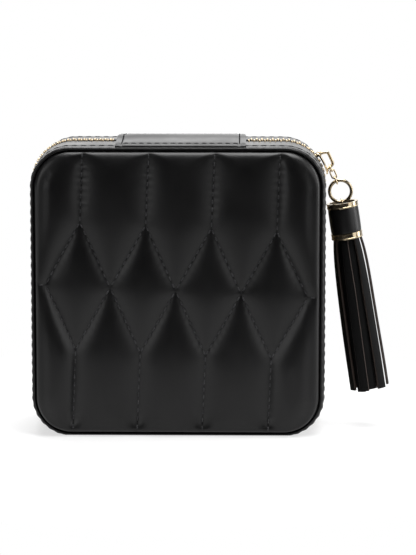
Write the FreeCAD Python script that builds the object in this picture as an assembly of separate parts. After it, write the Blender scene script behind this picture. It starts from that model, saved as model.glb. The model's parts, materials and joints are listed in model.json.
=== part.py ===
"""Square zip-round jewellery case of quilted leather, standing on the edge opposite its hinge.

Millimetres. X runs to the right, Y to the back and Z up. The origin is the middle of the standing face.
The zip lies in the plane y = 0, the lid is in front of it (negative y) and the base behind it.
"""
import FreeCAD, Part
import math
import os

# Case
case_side = 134.0
corner_radius = 18.0
half_depth = 26.0

# Layers of the walls and panels
leather = 1.2
wall_board = 2.0
panel_board = 2.0
lining = 0.8
panel_recess = 4.0
wall_board_setback = 7.2
panel_gap = 0.3

# The wall stands out a little between the rim and the zip
stitch_inset = 3.0
stitch_stand_out = 0.7
edge_stand_out = 1.1
edge_setback = 4.6

# Quilted front panel
foam_thickness = 1.2
foam_inset = 1.5
panel_crown = 2.6
panel_edge_radius = 2.4
quilt_pitch = 30.5
quilt_height = 58.0
quilt_skew_deg = 1.7
channel_width = 9.0
channel_depth = 2.1
quilt_columns = 4

# Zip
tape_thickness = 0.7
tape_hidden = 2.4
tooth_pitch = 2.5
tooth_thickness = 0.85
tooth_length = 3.6
tooth_height = 2.3
tooth_overlap = 0.9
tooth_crest = 1.9
tooth_floor_gap = 0.15
tape_grip = 0.7
zip_open_gap = 1.2
zip_under_strip = 3.0
end_stop_length = 1.8
end_stop_gap = 0.3

# Hinge strip
strip_width = 60.0
strip_offset = 1.5
strip_thickness = 1.5
strip_overhang = 0.4
strip_zip_clearance = 0.6
strip_gap = 0.1

# Slider
slider_angle_deg = 25.0
slider_length = 11.4
slider_width = 8.4
slider_lower_width = 7.0
slider_tail_width = 6.6
slider_plate = 0.8
slider_clearance = 0.45
post_length = 2.2
post_width = 0.7
bail_wire = 1.3
bail_height = 4.2
bail_upper_foot = 4.9
bail_upper_corner = 3.8
bail_lower_corner = 2.5
bail_lower_foot = 3.9

# Links and ring
link_clearance = 0.2
link_a_bore = 2.85
link_a_wire = 0.7
link_wire = 0.75
link_b_length = 3.6
link_b_width = 1.5
link_c_length = 3.0
link_c_width = 1.95
ring_outer = 11.8
ring_wire = 1.55
chain_lean_deg = 23.0

# Tassel
tassel_lean_deg = 8.8
cap_diameter = 14.4
band_height = 2.2
band_wall = 1.2
band_proud = 0.2
sleeve_height = 12.8
loop_wire = 0.9
loop_recess = 1.2
fringe_length = 73.5
strip_count = 12
fringe_top_width = 2.7
fringe_bottom_width = 4.0
fringe_thickness = 1.2
fringe_step_in = 1.5
fringe_top_radius = 5.6
fringe_bottom_radius = 7.9
inner_strip_count = 3
inner_top_radius = 2.5
inner_bottom_radius = 4.6

# Inside fittings
roll_count = 5
roll_diameter = 10.6
roll_gap = 0.5
roll_height = 12.0
roll_end_radius = 1.5
divider_thickness = 2.0
divider_height = 12.5
divider_offset = -4.0
right_divider_height = 62.0
fit_gap = 0.3
mirror_side = 92.0
mirror_thickness = 1.5
mirror_corner = 6.0
frame_border = 8.0
frame_thickness = 2.2
frame_lip = 0.6

# Worked out from the above
half_side = case_side / 2
panel_inner_y = half_depth - panel_recess
panel_face_y = panel_inner_y + panel_board
stitch_y = half_depth - stitch_inset
tooth_middle = tooth_crest - tooth_height / 2
tooth_floor = tooth_floor_gap + tooth_height / 2
corner_x = half_side - corner_radius
corner_z = case_side - corner_radius
track_radius = corner_radius + tooth_middle
wall_inset = leather + wall_board
inside_inset = wall_inset + lining
inside_half = half_side - inside_inset
floor_y = panel_inner_y - lining
strip_left = strip_offset - strip_width / 2
strip_right = strip_offset + strip_width / 2

edge_tolerance = 0.01
Y_AXIS = FreeCAD.Vector(0, 1, 0)
ORIGIN = FreeCAD.Vector(0, 0, 0)


def vec(x, y, z):
    return FreeCAD.Vector(x, y, z)


def save(name, shape):
    shape.exportStep("parts/" + name + ".step")


def front_copy(shape):
    """The same piece on the lid: mirrored through the zip's plane."""
    return shape.mirror(ORIGIN, Y_AXIS)


def outline(y, half_width, bottom, top, radius):
    """A round-cornered rectangle in the plane at this y."""
    bend = radius * (1 - math.sqrt(0.5))
    edges = []
    corners = (
        (half_width, bottom, -1, 1),
        (half_width, top, -1, -1),
        (-half_width, top, 1, -1),
        (-half_width, bottom, 1, 1),
    )
    ends = []
    for x, z, to_x, to_z in corners:
        along_x = vec(x + to_x * radius, y, z)
        along_z = vec(x, y, z + to_z * radius)
        middle = vec(x + to_x * bend, y, z + to_z * bend)
        turns_up = to_x * to_z < 0
        first, last = (along_x, along_z) if turns_up else (along_z, along_x)
        ends.append((first, middle, last))
    for index, (first, middle, last) in enumerate(ends):
        edges.append(Part.Arc(first, middle, last).toShape())
        edges.append(Part.LineSegment(last, ends[(index + 1) % 4][0]).toShape())
    return Part.Wire(edges)


def wall_stand_out(y):
    """How far the wall stands out of the rim's outline at this distance from the zip's plane."""
    if y > stitch_y:
        return stitch_stand_out * (half_depth - y) / stitch_inset
    share = (stitch_y - y) / (stitch_y - edge_setback)
    return stitch_stand_out + (edge_stand_out - stitch_stand_out) * share


def wall_outline(y, inset):
    out = wall_stand_out(y) - inset
    return outline(y, half_side + out, inset, case_side + out, corner_radius + out)


def plain_outline(y, inset):
    return outline(y, half_side - inset, inset, case_side - inset, corner_radius - inset)


def loft(wires):
    return Part.makeLoft(wires, True, True)


def plate(y_near, y_far, inset):
    """A flat round-cornered plate that follows the case's outline."""
    face = Part.Face(plain_outline(y_near, inset))
    return face.extrude(vec(0, y_far - y_near, 0))


def wall_leather_shape():
    levels = (edge_setback, stitch_y, half_depth)
    outer = loft([wall_outline(y, 0) for y in levels])
    inner = loft([wall_outline(y, leather) for y in levels])
    return outer.cut(inner)


def wall_board_shape():
    levels = (wall_board_setback, panel_inner_y)
    outer = loft([wall_outline(y, leather) for y in levels])
    return outer.cut(plate(wall_board_setback, panel_inner_y, wall_inset))


def lining_shape():
    cup = plate(wall_board_setback, panel_inner_y, wall_inset)
    return cup.cut(plate(wall_board_setback, floor_y, inside_inset))


def tape_outline(y, inset):
    """The tape lies under the wall leather, then rises to the middle of the teeth."""
    if y >= edge_setback - tape_thickness / 2:
        out = wall_stand_out(max(y, edge_setback)) - leather
        bottom = leather
    else:
        out = tooth_middle + tape_thickness / 2
        bottom = tooth_floor - tape_thickness / 2
    grown = out - inset
    return outline(y, half_side + grown, bottom + inset, case_side + grown, corner_radius + grown)


def zip_tape_shape():
    root = tooth_length - tooth_overlap
    levels = (root - tape_grip, root, edge_setback - tape_thickness / 2, edge_setback + tape_hidden)
    outer = loft([tape_outline(y, 0) for y in levels])
    inner = loft([tape_outline(y, tape_thickness) for y in levels])
    gap = strip_width - 2 * zip_under_strip
    notch = Part.makeBox(gap, 2 * half_depth, corner_radius * 2)
    notch.translate(vec(strip_left + zip_under_strip, -half_depth, corner_z))
    return outer.cut(inner).cut(notch)


def track_stretches():
    """The zip's course from under the strip's right end, round the case, to its left end.

    A straight run is ("run", length, start, direction), a quarter turn ("turn", length, centre, first angle).
    """
    top = case_side + tooth_middle
    low_corner_z = tooth_floor + track_radius
    side = half_side + tooth_middle
    quarter = track_radius * math.pi / 2
    right_run = corner_x - (strip_right - zip_under_strip)
    left_run = (strip_left + zip_under_strip) + corner_x
    side_run = corner_z - low_corner_z
    return (
        ("run", right_run, vec(strip_right - zip_under_strip, 0, top), vec(1, 0, 0)),
        ("turn", quarter, vec(corner_x, 0, corner_z), 90.0),
        ("run", side_run, vec(side, 0, corner_z), vec(0, 0, -1)),
        ("turn", quarter, vec(corner_x, 0, low_corner_z), 0.0),
        ("run", 2 * corner_x, vec(corner_x, 0, tooth_floor), vec(-1, 0, 0)),
        ("turn", quarter, vec(-corner_x, 0, low_corner_z), -90.0),
        ("run", side_run, vec(-side, 0, low_corner_z), vec(0, 0, 1)),
        ("turn", quarter, vec(-corner_x, 0, corner_z), -180.0),
        ("run", left_run, vec(-corner_x, 0, top), vec(1, 0, 0)),
    )


def track_length():
    return sum(stretch[1] for stretch in track_stretches())


def track_place(distance):
    """The point at this distance along the zip, and the angle of its outward side above +X."""
    for kind, length, start, course in track_stretches():
        if distance <= length:
            break
        distance -= length
    if kind == "turn":
        angle = course - math.degrees(distance / track_radius)
        turn = math.radians(angle)
        return start + vec(math.cos(turn), 0, math.sin(turn)) * track_radius, angle
    point = start + course * distance
    outward = vec(-course.z, 0, course.x)
    return point, math.degrees(math.atan2(outward.z, outward.x))


def slider_distance():
    """How far along the zip the middle of the slider is."""
    stretches = track_stretches()
    return stretches[0][1] + track_radius * math.radians(90.0 - slider_angle_deg)


def placed_on_track(shape, distance):
    point, angle = track_place(distance)
    shape.rotate(ORIGIN, Y_AXIS, -angle)
    shape.translate(point)
    return shape


def tooth(side, distance, parted):
    """One tooth, on the lid's tape (side -1) or the base's (side 1)."""
    inner_end = -tooth_overlap
    if parted:
        inner_end = zip_open_gap / 2
    near = inner_end if side > 0 else -inner_end - tooth_length
    box = Part.makeBox(tooth_height, tooth_length, tooth_thickness)
    box.translate(vec(-tooth_height / 2, near, -tooth_thickness / 2))
    return placed_on_track(box, distance)


def zip_teeth_shape(side):
    first = end_stop_length + tooth_pitch
    if side > 0:
        first += tooth_pitch / 2
    last = track_length() - end_stop_length - tooth_pitch
    count = int((last - first) / tooth_pitch) + 1
    teeth = []
    for index in range(count):
        distance = first + index * tooth_pitch
        teeth.append(tooth(side, distance, distance < slider_distance()))
    return Part.makeCompound(teeth)


def end_stop_shape():
    """The block at the tapes' edges where the zip starts, under the strip's left end."""
    tape_edge = tooth_length - tooth_overlap - tape_grip
    width = 2 * tape_edge - end_stop_gap
    block = Part.makeBox(tooth_height, width, end_stop_length)
    block.translate(vec(-tooth_height / 2, tape_edge - width, -end_stop_length / 2))
    return placed_on_track(block, track_length() - end_stop_length / 2)


def hinge_strip_shape():
    hump_y = tooth_length - tooth_overlap
    hump_z = case_side + tooth_crest + strip_zip_clearance
    end_y = half_depth - strip_overhang
    near = []
    for y in (end_y, stitch_y, edge_setback):
        near.append((y, case_side + wall_stand_out(y) + strip_gap))
    near.append((hump_y, hump_z))
    under = near + [(-y, z) for y, z in reversed(near)]
    over = [(y, z + strip_thickness) for y, z in reversed(under)]
    points = [vec(strip_left, y, z) for y, z in under + over]
    face = Part.Face(Part.makePolygon(points + points[:1]))
    return face.extrude(vec(strip_width, 0, 0))


def seam_ends():
    """The quilting seams as pairs of (x, z) points about the panel's middle."""
    half_pitch = quilt_pitch / 2
    half_height = quilt_height / 2
    reach = case_side
    seams = []
    outer = quilt_pitch * quilt_columns / 2
    for column in range(quilt_columns):
        middle = (column - (quilt_columns - 1) / 2) * quilt_pitch
        for end in (-1, 1):
            tip = (middle, end * half_height)
            seams.append((tip, (middle, end * reach)))
            seams.append((tip, (middle - half_pitch, 0)))
            seams.append((tip, (middle + half_pitch, 0)))
    seams.append(((outer, 0), (reach, 0)))
    seams.append(((-outer, 0), (-reach, 0)))
    return seams


def channel(start, end, crown_y):
    """A pressed-in seam: a V-shaped bar along the seam, wide at the panel's face."""
    run = math.hypot(end[0] - start[0], end[1] - start[1])
    over = channel_depth
    half = channel_width / 2 * (channel_depth + over) / channel_depth
    tip = vec(0, crown_y - channel_depth, 0)
    upper = vec(0, crown_y + over, half)
    lower = vec(0, crown_y + over, -half)
    face = Part.Face(Part.makePolygon([tip, upper, lower, tip]))
    bar = face.extrude(vec(run, 0, 0))
    bar.rotate(ORIGIN, Y_AXIS, -math.degrees(math.atan2(end[1] - start[1], end[0] - start[0])))
    bar.translate(vec(start[0], 0, start[1]))
    return bar


def quilted_panel_shape():
    """The padded panel: rounded at its edge, drawn in along the seams, hollow over its foam."""
    inset = leather + panel_gap
    crown_y = half_depth + panel_crown
    pad = plate(panel_face_y, crown_y, inset)
    rim = [edge for edge in pad.Edges if edge.BoundBox.YMin > crown_y - edge_tolerance]
    pad = pad.makeFillet(panel_edge_radius, rim)
    channels = [channel(start, end, crown_y) for start, end in seam_ends()]
    grooves = channels[0].multiFuse(channels[1:])
    grooves.rotate(ORIGIN, Y_AXIS, -quilt_skew_deg)
    grooves.translate(vec(0, 0, half_side))
    return pad.cut(grooves).cut(foam_shape())


def foam_shape():
    return plate(panel_face_y, panel_face_y + foam_thickness, leather + panel_gap + foam_inset)


def slider_frame(shape):
    """Moves a slider piece from its own place at angle 0 on the corner's turn to where it is parked."""
    shape.rotate(vec(corner_x, 0, corner_z), Y_AXIS, -slider_angle_deg)
    return shape


def slider_plate_shape(inner_radius, width):
    """A plate bent to the corner's turn, narrower at the end that runs over closed teeth."""
    outer_radius = inner_radius + slider_plate
    half = slider_length / 2
    wide = width / 2
    start = vec(corner_x, -wide, corner_z)
    ring = Part.makeCylinder(outer_radius, width, start, Y_AXIS)
    ring = ring.cut(Part.makeCylinder(inner_radius, width, start, Y_AXIS))
    tail = slider_tail_width / 2
    points = ((half, wide), (0, wide), (-half, tail), (-half, -tail), (0, -wide), (half, -wide))
    corners = [vec(corner_x, y, corner_z + along) for along, y in points]
    shape = Part.Face(Part.makePolygon(corners + corners[:1])).extrude(vec(2 * outer_radius, 0, 0))
    return slider_frame(ring.common(shape))


def lower_plate_radius():
    return track_radius - tooth_height / 2 - slider_clearance - slider_plate


def upper_plate_radius():
    return track_radius + tooth_height / 2 + slider_clearance


def slider_post_shape():
    """The wedge between the two rows of teeth, joining the plates at their wide end."""
    inner = lower_plate_radius() + slider_plate
    outer = upper_plate_radius()
    start = vec(corner_x, -post_width / 2, corner_z)
    ring = Part.makeCylinder(outer, post_width, start, Y_AXIS)
    ring = ring.cut(Part.makeCylinder(inner, post_width, start, Y_AXIS))
    block = Part.makeBox(2 * outer, post_width, post_length)
    block.translate(vec(corner_x, -post_width / 2, corner_z + slider_length / 2 - post_length))
    return slider_frame(ring.common(block))


def bail_points():
    """The bail's middle line as (along, out) points, along being up the turn from the slider's middle."""
    seat = upper_plate_radius() + slider_plate
    upper_out = math.sqrt(seat * seat - bail_upper_foot * bail_upper_foot) - track_radius
    lower_out = math.sqrt(seat * seat - bail_lower_foot * bail_lower_foot) - track_radius
    top_out = seat - track_radius + bail_height - bail_wire / 2
    return (
        (bail_upper_foot, upper_out),
        (bail_upper_corner, top_out),
        (-bail_lower_corner, top_out),
        (-bail_lower_foot, lower_out),
    )


def on_slider(along, out):
    """A point of the slider's own frame, in the case's frame."""
    turn = math.radians(slider_angle_deg)
    radius = track_radius + out
    x = corner_x + radius * math.cos(turn) - along * math.sin(turn)
    z = corner_z + radius * math.sin(turn) + along * math.cos(turn)
    return vec(x, 0, z)


def bail_shape():
    """A square-cornered wire arch along the slider, its feet cut to the upper plate."""
    points = [on_slider(along, out) for along, out in bail_points()]
    path = Part.Wire(Part.makePolygon(points))
    direction = points[1] - points[0]
    section = Part.Wire(Part.makeCircle(bail_wire / 2, points[0], direction))
    arch = path.makePipeShell([section], True, False, 1)
    seat = upper_plate_radius() + slider_plate
    below = Part.makeCylinder(seat, 4 * bail_wire, vec(corner_x, -2 * bail_wire, corner_z), Y_AXIS)
    return arch.cut(below)


def chain_point(distance):
    """A point of the hanging chain, at this distance below where it holds the bail."""
    points = bail_points()
    hold = (on_slider(*points[2]) + on_slider(*points[3])) * 0.5
    lean = math.radians(chain_lean_deg)
    return hold + vec(math.sin(lean), 0, -math.cos(lean)) * distance


def link_stations():
    """Distances along the chain to the middles of the links and ring, and to the low wires of two links."""
    bail_seat = link_a_bore / 2 - bail_wire / 2 - link_clearance
    link_a = bail_seat
    link_b_top = link_a + link_a_bore / 2 - link_wire / 2 - link_clearance
    link_b = link_b_top + link_b_length / 2 + link_wire / 2
    link_c_top = link_b + link_b_length / 2 - link_wire / 2 - link_clearance
    link_c = link_c_top + link_c_length / 2 + link_wire / 2
    ring_top = link_c + link_c_length / 2 - ring_wire / 2 - link_clearance
    ring = ring_top + (ring_outer - ring_wire) / 2
    link_a_low = link_a + (link_a_bore + link_a_wire) / 2
    link_b_low = link_b + (link_b_length + link_wire) / 2
    return {"a": link_a, "a_low": link_a_low, "b": link_b, "b_low": link_b_low, "c": link_c, "ring": ring}


def oval_link(length, width, wire, edge_on):
    """A long link about the origin, its length along Z, lying in the XZ plane or edge on to it."""
    bend = (width + wire) / 2
    straight = (length - width) / 2
    points = (
        Part.Arc(vec(bend, 0, straight), vec(0, 0, straight + bend), vec(-bend, 0, straight)).toShape(),
        Part.LineSegment(vec(-bend, 0, straight), vec(-bend, 0, -straight)).toShape(),
        Part.Arc(vec(-bend, 0, -straight), vec(0, 0, -straight - bend), vec(bend, 0, -straight)).toShape(),
        Part.LineSegment(vec(bend, 0, -straight), vec(bend, 0, straight)).toShape(),
    )
    path = Part.Wire(points)
    section = Part.Wire(Part.makeCircle(wire / 2, vec(bend, 0, straight), vec(0, 0, 1)))
    link = path.makePipeShell([section], True, False)
    if edge_on:
        link.rotate(ORIGIN, vec(0, 0, 1), 90)
    return link


def on_chain(shape, distance):
    shape.rotate(ORIGIN, Y_AXIS, -chain_lean_deg)
    shape.translate(chain_point(distance))
    return shape


def link_a_shape():
    ring = Part.makeTorus((link_a_bore + link_a_wire) / 2, link_a_wire / 2, ORIGIN, vec(1, 0, 0))
    return on_chain(ring, link_stations()["a"])


def ring_shape():
    radius = (ring_outer - ring_wire) / 2
    return Part.makeTorus(radius, ring_wire / 2, chain_point(link_stations()["ring"]), Y_AXIS)


def tassel_top():
    """Where the tassel's loop holds the ring: the middle of the ring's wire at its low side."""
    lean = math.radians(tassel_lean_deg)
    radius = (ring_outer - ring_wire) / 2
    return chain_point(link_stations()["ring"]) + vec(math.sin(lean), 0, -math.cos(lean)) * radius


def hung(shape):
    """Takes a tassel piece from upright under the origin to where it hangs."""
    shape.rotate(ORIGIN, Y_AXIS, -tassel_lean_deg)
    shape.translate(tassel_top())
    return shape


def tube(outer_radius, inner_radius, top, bottom):
    height = top - bottom
    outer = Part.makeCylinder(outer_radius, height, vec(0, 0, bottom))
    return outer.cut(Part.makeCylinder(inner_radius, height, vec(0, 0, bottom)))


def cap_height():
    return 2 * band_height + sleeve_height


def core_radius():
    return cap_diameter / 2 - band_wall


def tassel_loop_shape():
    """A small staple over the ring's wire, standing on the core."""
    bend = ring_wire / 2 + link_clearance + loop_wire / 2
    left = vec(0, -bend, -loop_recess)
    right = vec(0, bend, -loop_recess)
    path = Part.Wire([
        Part.LineSegment(left, vec(0, -bend, 0)).toShape(),
        Part.Arc(vec(0, -bend, 0), vec(0, 0, bend), vec(0, bend, 0)).toShape(),
        Part.LineSegment(vec(0, bend, 0), right).toShape(),
    ])
    section = Part.Wire(Part.makeCircle(loop_wire / 2, left, vec(0, 0, 1)))
    return hung(path.makePipeShell([section], True, False))


def tassel_core_shape():
    height = cap_height() - loop_recess
    return hung(Part.makeCylinder(core_radius(), height, vec(0, 0, -cap_height())))


def band_shape(top):
    return hung(tube(cap_diameter / 2 + band_proud, core_radius(), top, top - band_height))


def sleeve_shape():
    return hung(tube(cap_diameter / 2, core_radius(), -band_height, -band_height - sleeve_height))


def fringe_strip(angle, top_radius, bottom_radius):
    """One flat leather strip of the fringe, leaning out from the cap."""
    top = -cap_height()
    bottom = top - fringe_length
    ends = []
    levels = ((top_radius, fringe_top_width, top), (bottom_radius, fringe_bottom_width, bottom))
    for radius, width, z in levels:
        half = width / 2
        inner = radius - fringe_thickness
        corners = [vec(inner, -half, z), vec(radius, -half, z), vec(radius, half, z), vec(inner, half, z)]
        ends.append(Part.makePolygon(corners + corners[:1]))
    strip = loft(ends)
    strip.rotate(ORIGIN, vec(0, 0, 1), angle)
    return strip


def fringe_shape():
    """Two rows of strips in turn, the second further in, and a few strips inside them."""
    strips = []
    for index in range(strip_count):
        step_in = (index % 2) * fringe_step_in
        angle = 360.0 * index / strip_count
        strips.append(fringe_strip(angle, fringe_top_radius - step_in, fringe_bottom_radius - step_in))
    for index in range(inner_strip_count):
        angle = 360.0 * (index + 0.5) / inner_strip_count
        strips.append(fringe_strip(angle, inner_top_radius, inner_bottom_radius))
    return hung(Part.makeCompound(strips))


def ring_roll_shape(index):
    """A padded roll to the left of the long divider, counted down from the top wall."""
    left = -inside_half + fit_gap
    right = divider_offset - divider_thickness / 2 - fit_gap
    radius = roll_diameter / 2
    step = roll_diameter + roll_gap
    middle = case_side - inside_inset - roll_gap - radius - index * step
    crest = floor_y - roll_height
    low = vec(left, floor_y, middle - radius)
    shoulder_low = vec(left, crest + radius, middle - radius)
    top = vec(left, crest, middle)
    shoulder_high = vec(left, crest + radius, middle + radius)
    high = vec(left, floor_y, middle + radius)
    slant = radius * math.sqrt(0.5)
    arc_low = vec(left, crest + radius - slant, middle - slant)
    arc_high = vec(left, crest + radius - slant, middle + slant)
    wire = Part.Wire([
        Part.LineSegment(low, shoulder_low).toShape(),
        Part.Arc(shoulder_low, arc_low, top).toShape(),
        Part.Arc(top, arc_high, shoulder_high).toShape(),
        Part.LineSegment(shoulder_high, high).toShape(),
        Part.LineSegment(high, low).toShape(),
    ])
    roll = Part.Face(wire).extrude(vec(right - left, 0, 0))
    ends = [edge for edge in roll.Edges if edge.BoundBox.XLength < edge_tolerance]
    rims = [edge for edge in ends if edge.BoundBox.YLength > edge_tolerance]
    inside = plate(crest, floor_y, inside_inset + fit_gap)
    return roll.makeFillet(roll_end_radius, rims).common(inside)


def rolls_low_z():
    """The lower side of the lowest ring roll."""
    return case_side - inside_inset - roll_count * (roll_diameter + roll_gap)


def divider_box(left, right, low, high):
    box = Part.makeBox(right - left, divider_height, high - low)
    box.translate(vec(left, floor_y - divider_height, low))
    return box


def long_divider_shape():
    left = divider_offset - divider_thickness / 2
    low = inside_inset + fit_gap
    return divider_box(left, left + divider_thickness, low, case_side - low)


def left_divider_shape():
    high = rolls_low_z() - fit_gap
    right = divider_offset - divider_thickness / 2 - fit_gap
    return divider_box(-inside_half + fit_gap, right, high - divider_thickness, high)


def right_divider_shape():
    left = divider_offset + divider_thickness / 2 + fit_gap
    low = right_divider_height - divider_thickness / 2
    return divider_box(left, inside_half - fit_gap, low, low + divider_thickness)


def square_plate(side, radius, y_near, y_far):
    middle = half_side
    face = Part.Face(outline(y_near, side / 2, middle - side / 2, middle + side / 2, radius))
    return face.extrude(vec(0, y_far - y_near, 0))


def mirror_shape():
    return square_plate(mirror_side, mirror_corner, floor_y - mirror_thickness, floor_y)


def mirror_frame_shape():
    """A leather-covered border whose lip overlaps the glass."""
    side = mirror_side + 2 * frame_border
    outer = square_plate(side, mirror_corner + frame_border, floor_y - frame_thickness, floor_y)
    window = mirror_side - 2 * frame_lip
    rebate = square_plate(mirror_side, mirror_corner, floor_y - mirror_thickness, floor_y)
    opening = square_plate(window, mirror_corner - frame_lip, floor_y - frame_thickness, floor_y)
    return outer.cut(rebate).cut(opening)


def build_halves():
    wall = wall_leather_shape()
    hoop = wall_board_shape()
    cup = lining_shape()
    tape = zip_tape_shape()
    rear_board = plate(panel_inner_y, half_depth - leather, leather)
    save("rear_wall_leather", wall)
    save("rear_wall_board", hoop)
    save("rear_lining", cup)
    save("rear_zip_tape", tape)
    save("rear_zip_teeth", zip_teeth_shape(1))
    save("zip_end_stop", end_stop_shape())
    save("rear_panel_board", rear_board)
    save("rear_panel_leather", plate(half_depth - leather, half_depth, leather + panel_gap))
    save("hinge_strip", hinge_strip_shape())
    save("front_wall_leather", front_copy(wall))
    save("front_wall_board", front_copy(hoop))
    save("front_lining", front_copy(cup))
    save("front_zip_tape", front_copy(tape))
    save("front_zip_teeth", zip_teeth_shape(-1))
    save("front_panel_board", front_copy(plate(panel_inner_y, panel_face_y, leather)))
    save("front_foam_pad", front_copy(foam_shape()))
    save("front_quilted_panel", front_copy(quilted_panel_shape()))


def build_inside():
    for index in range(roll_count):
        save("ring_roll_" + str(index + 1), ring_roll_shape(index))
    save("long_divider", long_divider_shape())
    save("left_divider", left_divider_shape())
    save("right_divider", right_divider_shape())
    save("lid_mirror", front_copy(mirror_shape()))
    save("mirror_frame", front_copy(mirror_frame_shape()))


def build_zip_pull():
    stations = link_stations()
    save("slider_lower_plate", slider_plate_shape(lower_plate_radius(), slider_lower_width))
    save("slider_upper_plate", slider_plate_shape(upper_plate_radius(), slider_width))
    save("slider_post", slider_post_shape())
    save("slider_bail", bail_shape())
    save("link_a", link_a_shape())
    save("link_b", on_chain(oval_link(link_b_length, link_b_width, link_wire, False), stations["b"]))
    save("link_c", on_chain(oval_link(link_c_length, link_c_width, link_wire, True), stations["c"]))
    save("pull_ring", ring_shape())
    save("tassel_loop", tassel_loop_shape())
    save("tassel_core", tassel_core_shape())
    save("tassel_upper_band", band_shape(0))
    save("tassel_sleeve", sleeve_shape())
    save("tassel_lower_band", band_shape(-band_height - sleeve_height))
    save("tassel_fringe", fringe_shape())


def print_joint_places():
    """The points that the joints turn about."""
    stations = link_stations()
    print("lid hinge z", case_side + tooth_crest + strip_zip_clearance + strip_thickness / 2)
    print("slider turn", corner_x, corner_z)
    print("link a hold", chain_point(0))
    print("link b hold", chain_point(stations["a_low"]))
    print("link c hold", chain_point(stations["b_low"]))
    print("ring middle", chain_point(stations["ring"]))
    print("tassel hold", tassel_top())


os.makedirs("parts", exist_ok=True)
build_halves()
build_inside()
build_zip_pull()
print_joint_places()
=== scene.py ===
"""Quilted leather jewellery case: the looks of the case, built around its fixed frame."""
import json
import math

import bpy
import numpy as np
from bpy.props import FloatProperty, FloatVectorProperty, IntProperty, PointerProperty
from mathutils import Matrix, Vector


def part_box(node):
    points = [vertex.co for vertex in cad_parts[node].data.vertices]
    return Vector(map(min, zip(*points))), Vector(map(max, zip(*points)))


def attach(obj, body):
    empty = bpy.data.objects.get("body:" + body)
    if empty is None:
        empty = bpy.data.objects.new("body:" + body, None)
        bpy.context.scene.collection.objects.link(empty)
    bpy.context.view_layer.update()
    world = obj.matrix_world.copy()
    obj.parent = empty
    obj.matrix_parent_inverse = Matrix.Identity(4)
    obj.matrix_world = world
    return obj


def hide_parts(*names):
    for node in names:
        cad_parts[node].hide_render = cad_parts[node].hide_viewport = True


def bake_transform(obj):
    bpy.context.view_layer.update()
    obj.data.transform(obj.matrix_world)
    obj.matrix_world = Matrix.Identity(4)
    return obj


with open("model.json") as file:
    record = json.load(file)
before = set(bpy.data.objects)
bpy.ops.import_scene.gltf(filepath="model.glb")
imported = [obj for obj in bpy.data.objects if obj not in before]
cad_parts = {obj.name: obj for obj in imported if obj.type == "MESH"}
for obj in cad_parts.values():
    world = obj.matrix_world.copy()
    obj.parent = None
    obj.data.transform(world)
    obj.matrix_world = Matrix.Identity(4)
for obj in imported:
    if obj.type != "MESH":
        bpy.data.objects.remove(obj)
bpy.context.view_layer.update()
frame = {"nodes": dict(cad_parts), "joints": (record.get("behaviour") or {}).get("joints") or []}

bl_info = {
    "name": "Quilted jewellery case",
    "version": (1, 0, 0),
    "blender": (4, 5, 0),
    "location": "View3D > Sidebar > Case",
    "description": "Models the leather, zip, tassel and inside of a jewellery case",
    "category": "Object",
}

NODES = frame["nodes"]
MM = 0.001
IMAGE_HEIGHT = 555
RNG_SEED = 7


def joint_place(name):
    """The point in millimetres that a joint turns about."""
    found = [joint for joint in frame["joints"] if joint["name"] == name]
    return np.array(found[0]["pos_m"]) / MM


def node_box(name):
    """A node's lowest and highest corners in millimetres."""
    low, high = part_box(name)
    return np.array(low) / MM, np.array(high) / MM


def size(name, description, default, **more):
    return FloatProperty(name=name, description=description, default=default, min=0.0, **more)


def length(name, description, millimetres):
    return size(name, description, millimetres * MM, unit="LENGTH", precision=5)


def colour(name, description, default):
    return FloatVectorProperty(
        name=name, description=description, default=default, subtype="COLOR", size=3, min=0.0, max=1.0)


class CaseSizes(bpy.types.PropertyGroup):
    """Sizes of the case that a user would change."""

    side: length("Side", "Width and height at the rim", 134.0)
    corner: length("Corner radius", "Radius of the rim's corners", 18.0)
    half_depth: length("Half depth", "Depth of the base or the lid", 26.0)
    stitch_inset: length("Stitch inset", "Distance of the wall's sewing from the rim", 5.6)
    strip_inset: length("Strip inset", "Distance of the hinge strip's sewing from its edge", 3.0)
    rim_stitch: length("Rim stitch", "Pitch of the wall's stitches", 4.15)
    panel_inset: length("Panel inset", "Gap between the quilted panel's edge and the rim's outside", 1.25)
    quilt_stitch: length("Quilt stitch", "Pitch of the quilting stitches", 3.5)
    thread: length("Thread", "Diameter of the sewing thread", 0.62)
    quilt_pitch: length("Quilt pitch", "Width of a quilted diamond", 30.2)
    quilt_height: length("Quilt height", "Height of a quilted diamond", 59.5)
    quilt_puff: length("Quilt puff", "How far the padding swells between seams", 3.6)
    quilt_skew: size("Quilt skew", "Turn of the quilting on the panel", math.radians(2.6), subtype="ANGLE")
    quilt_rise: length("Quilt rise", "How far the quilting sits above the panel's middle", 1.1)
    quilt_slide: length("Quilt slide", "How far the quilting sits to the left of the panel's middle", 0.8)
    tooth_pitch: length("Tooth pitch", "Distance between teeth of one row", 2.5)
    fringe_strips: IntProperty(name="Fringe strips", description="Strips in the tassel's outer rows",
                               default=14, min=6, max=24)
    fringe_length: length("Fringe length", "Length of the tassel's strips", 73.5)


NOT_LENGTHS = ("quilt_skew", "fringe_strips")


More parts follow.
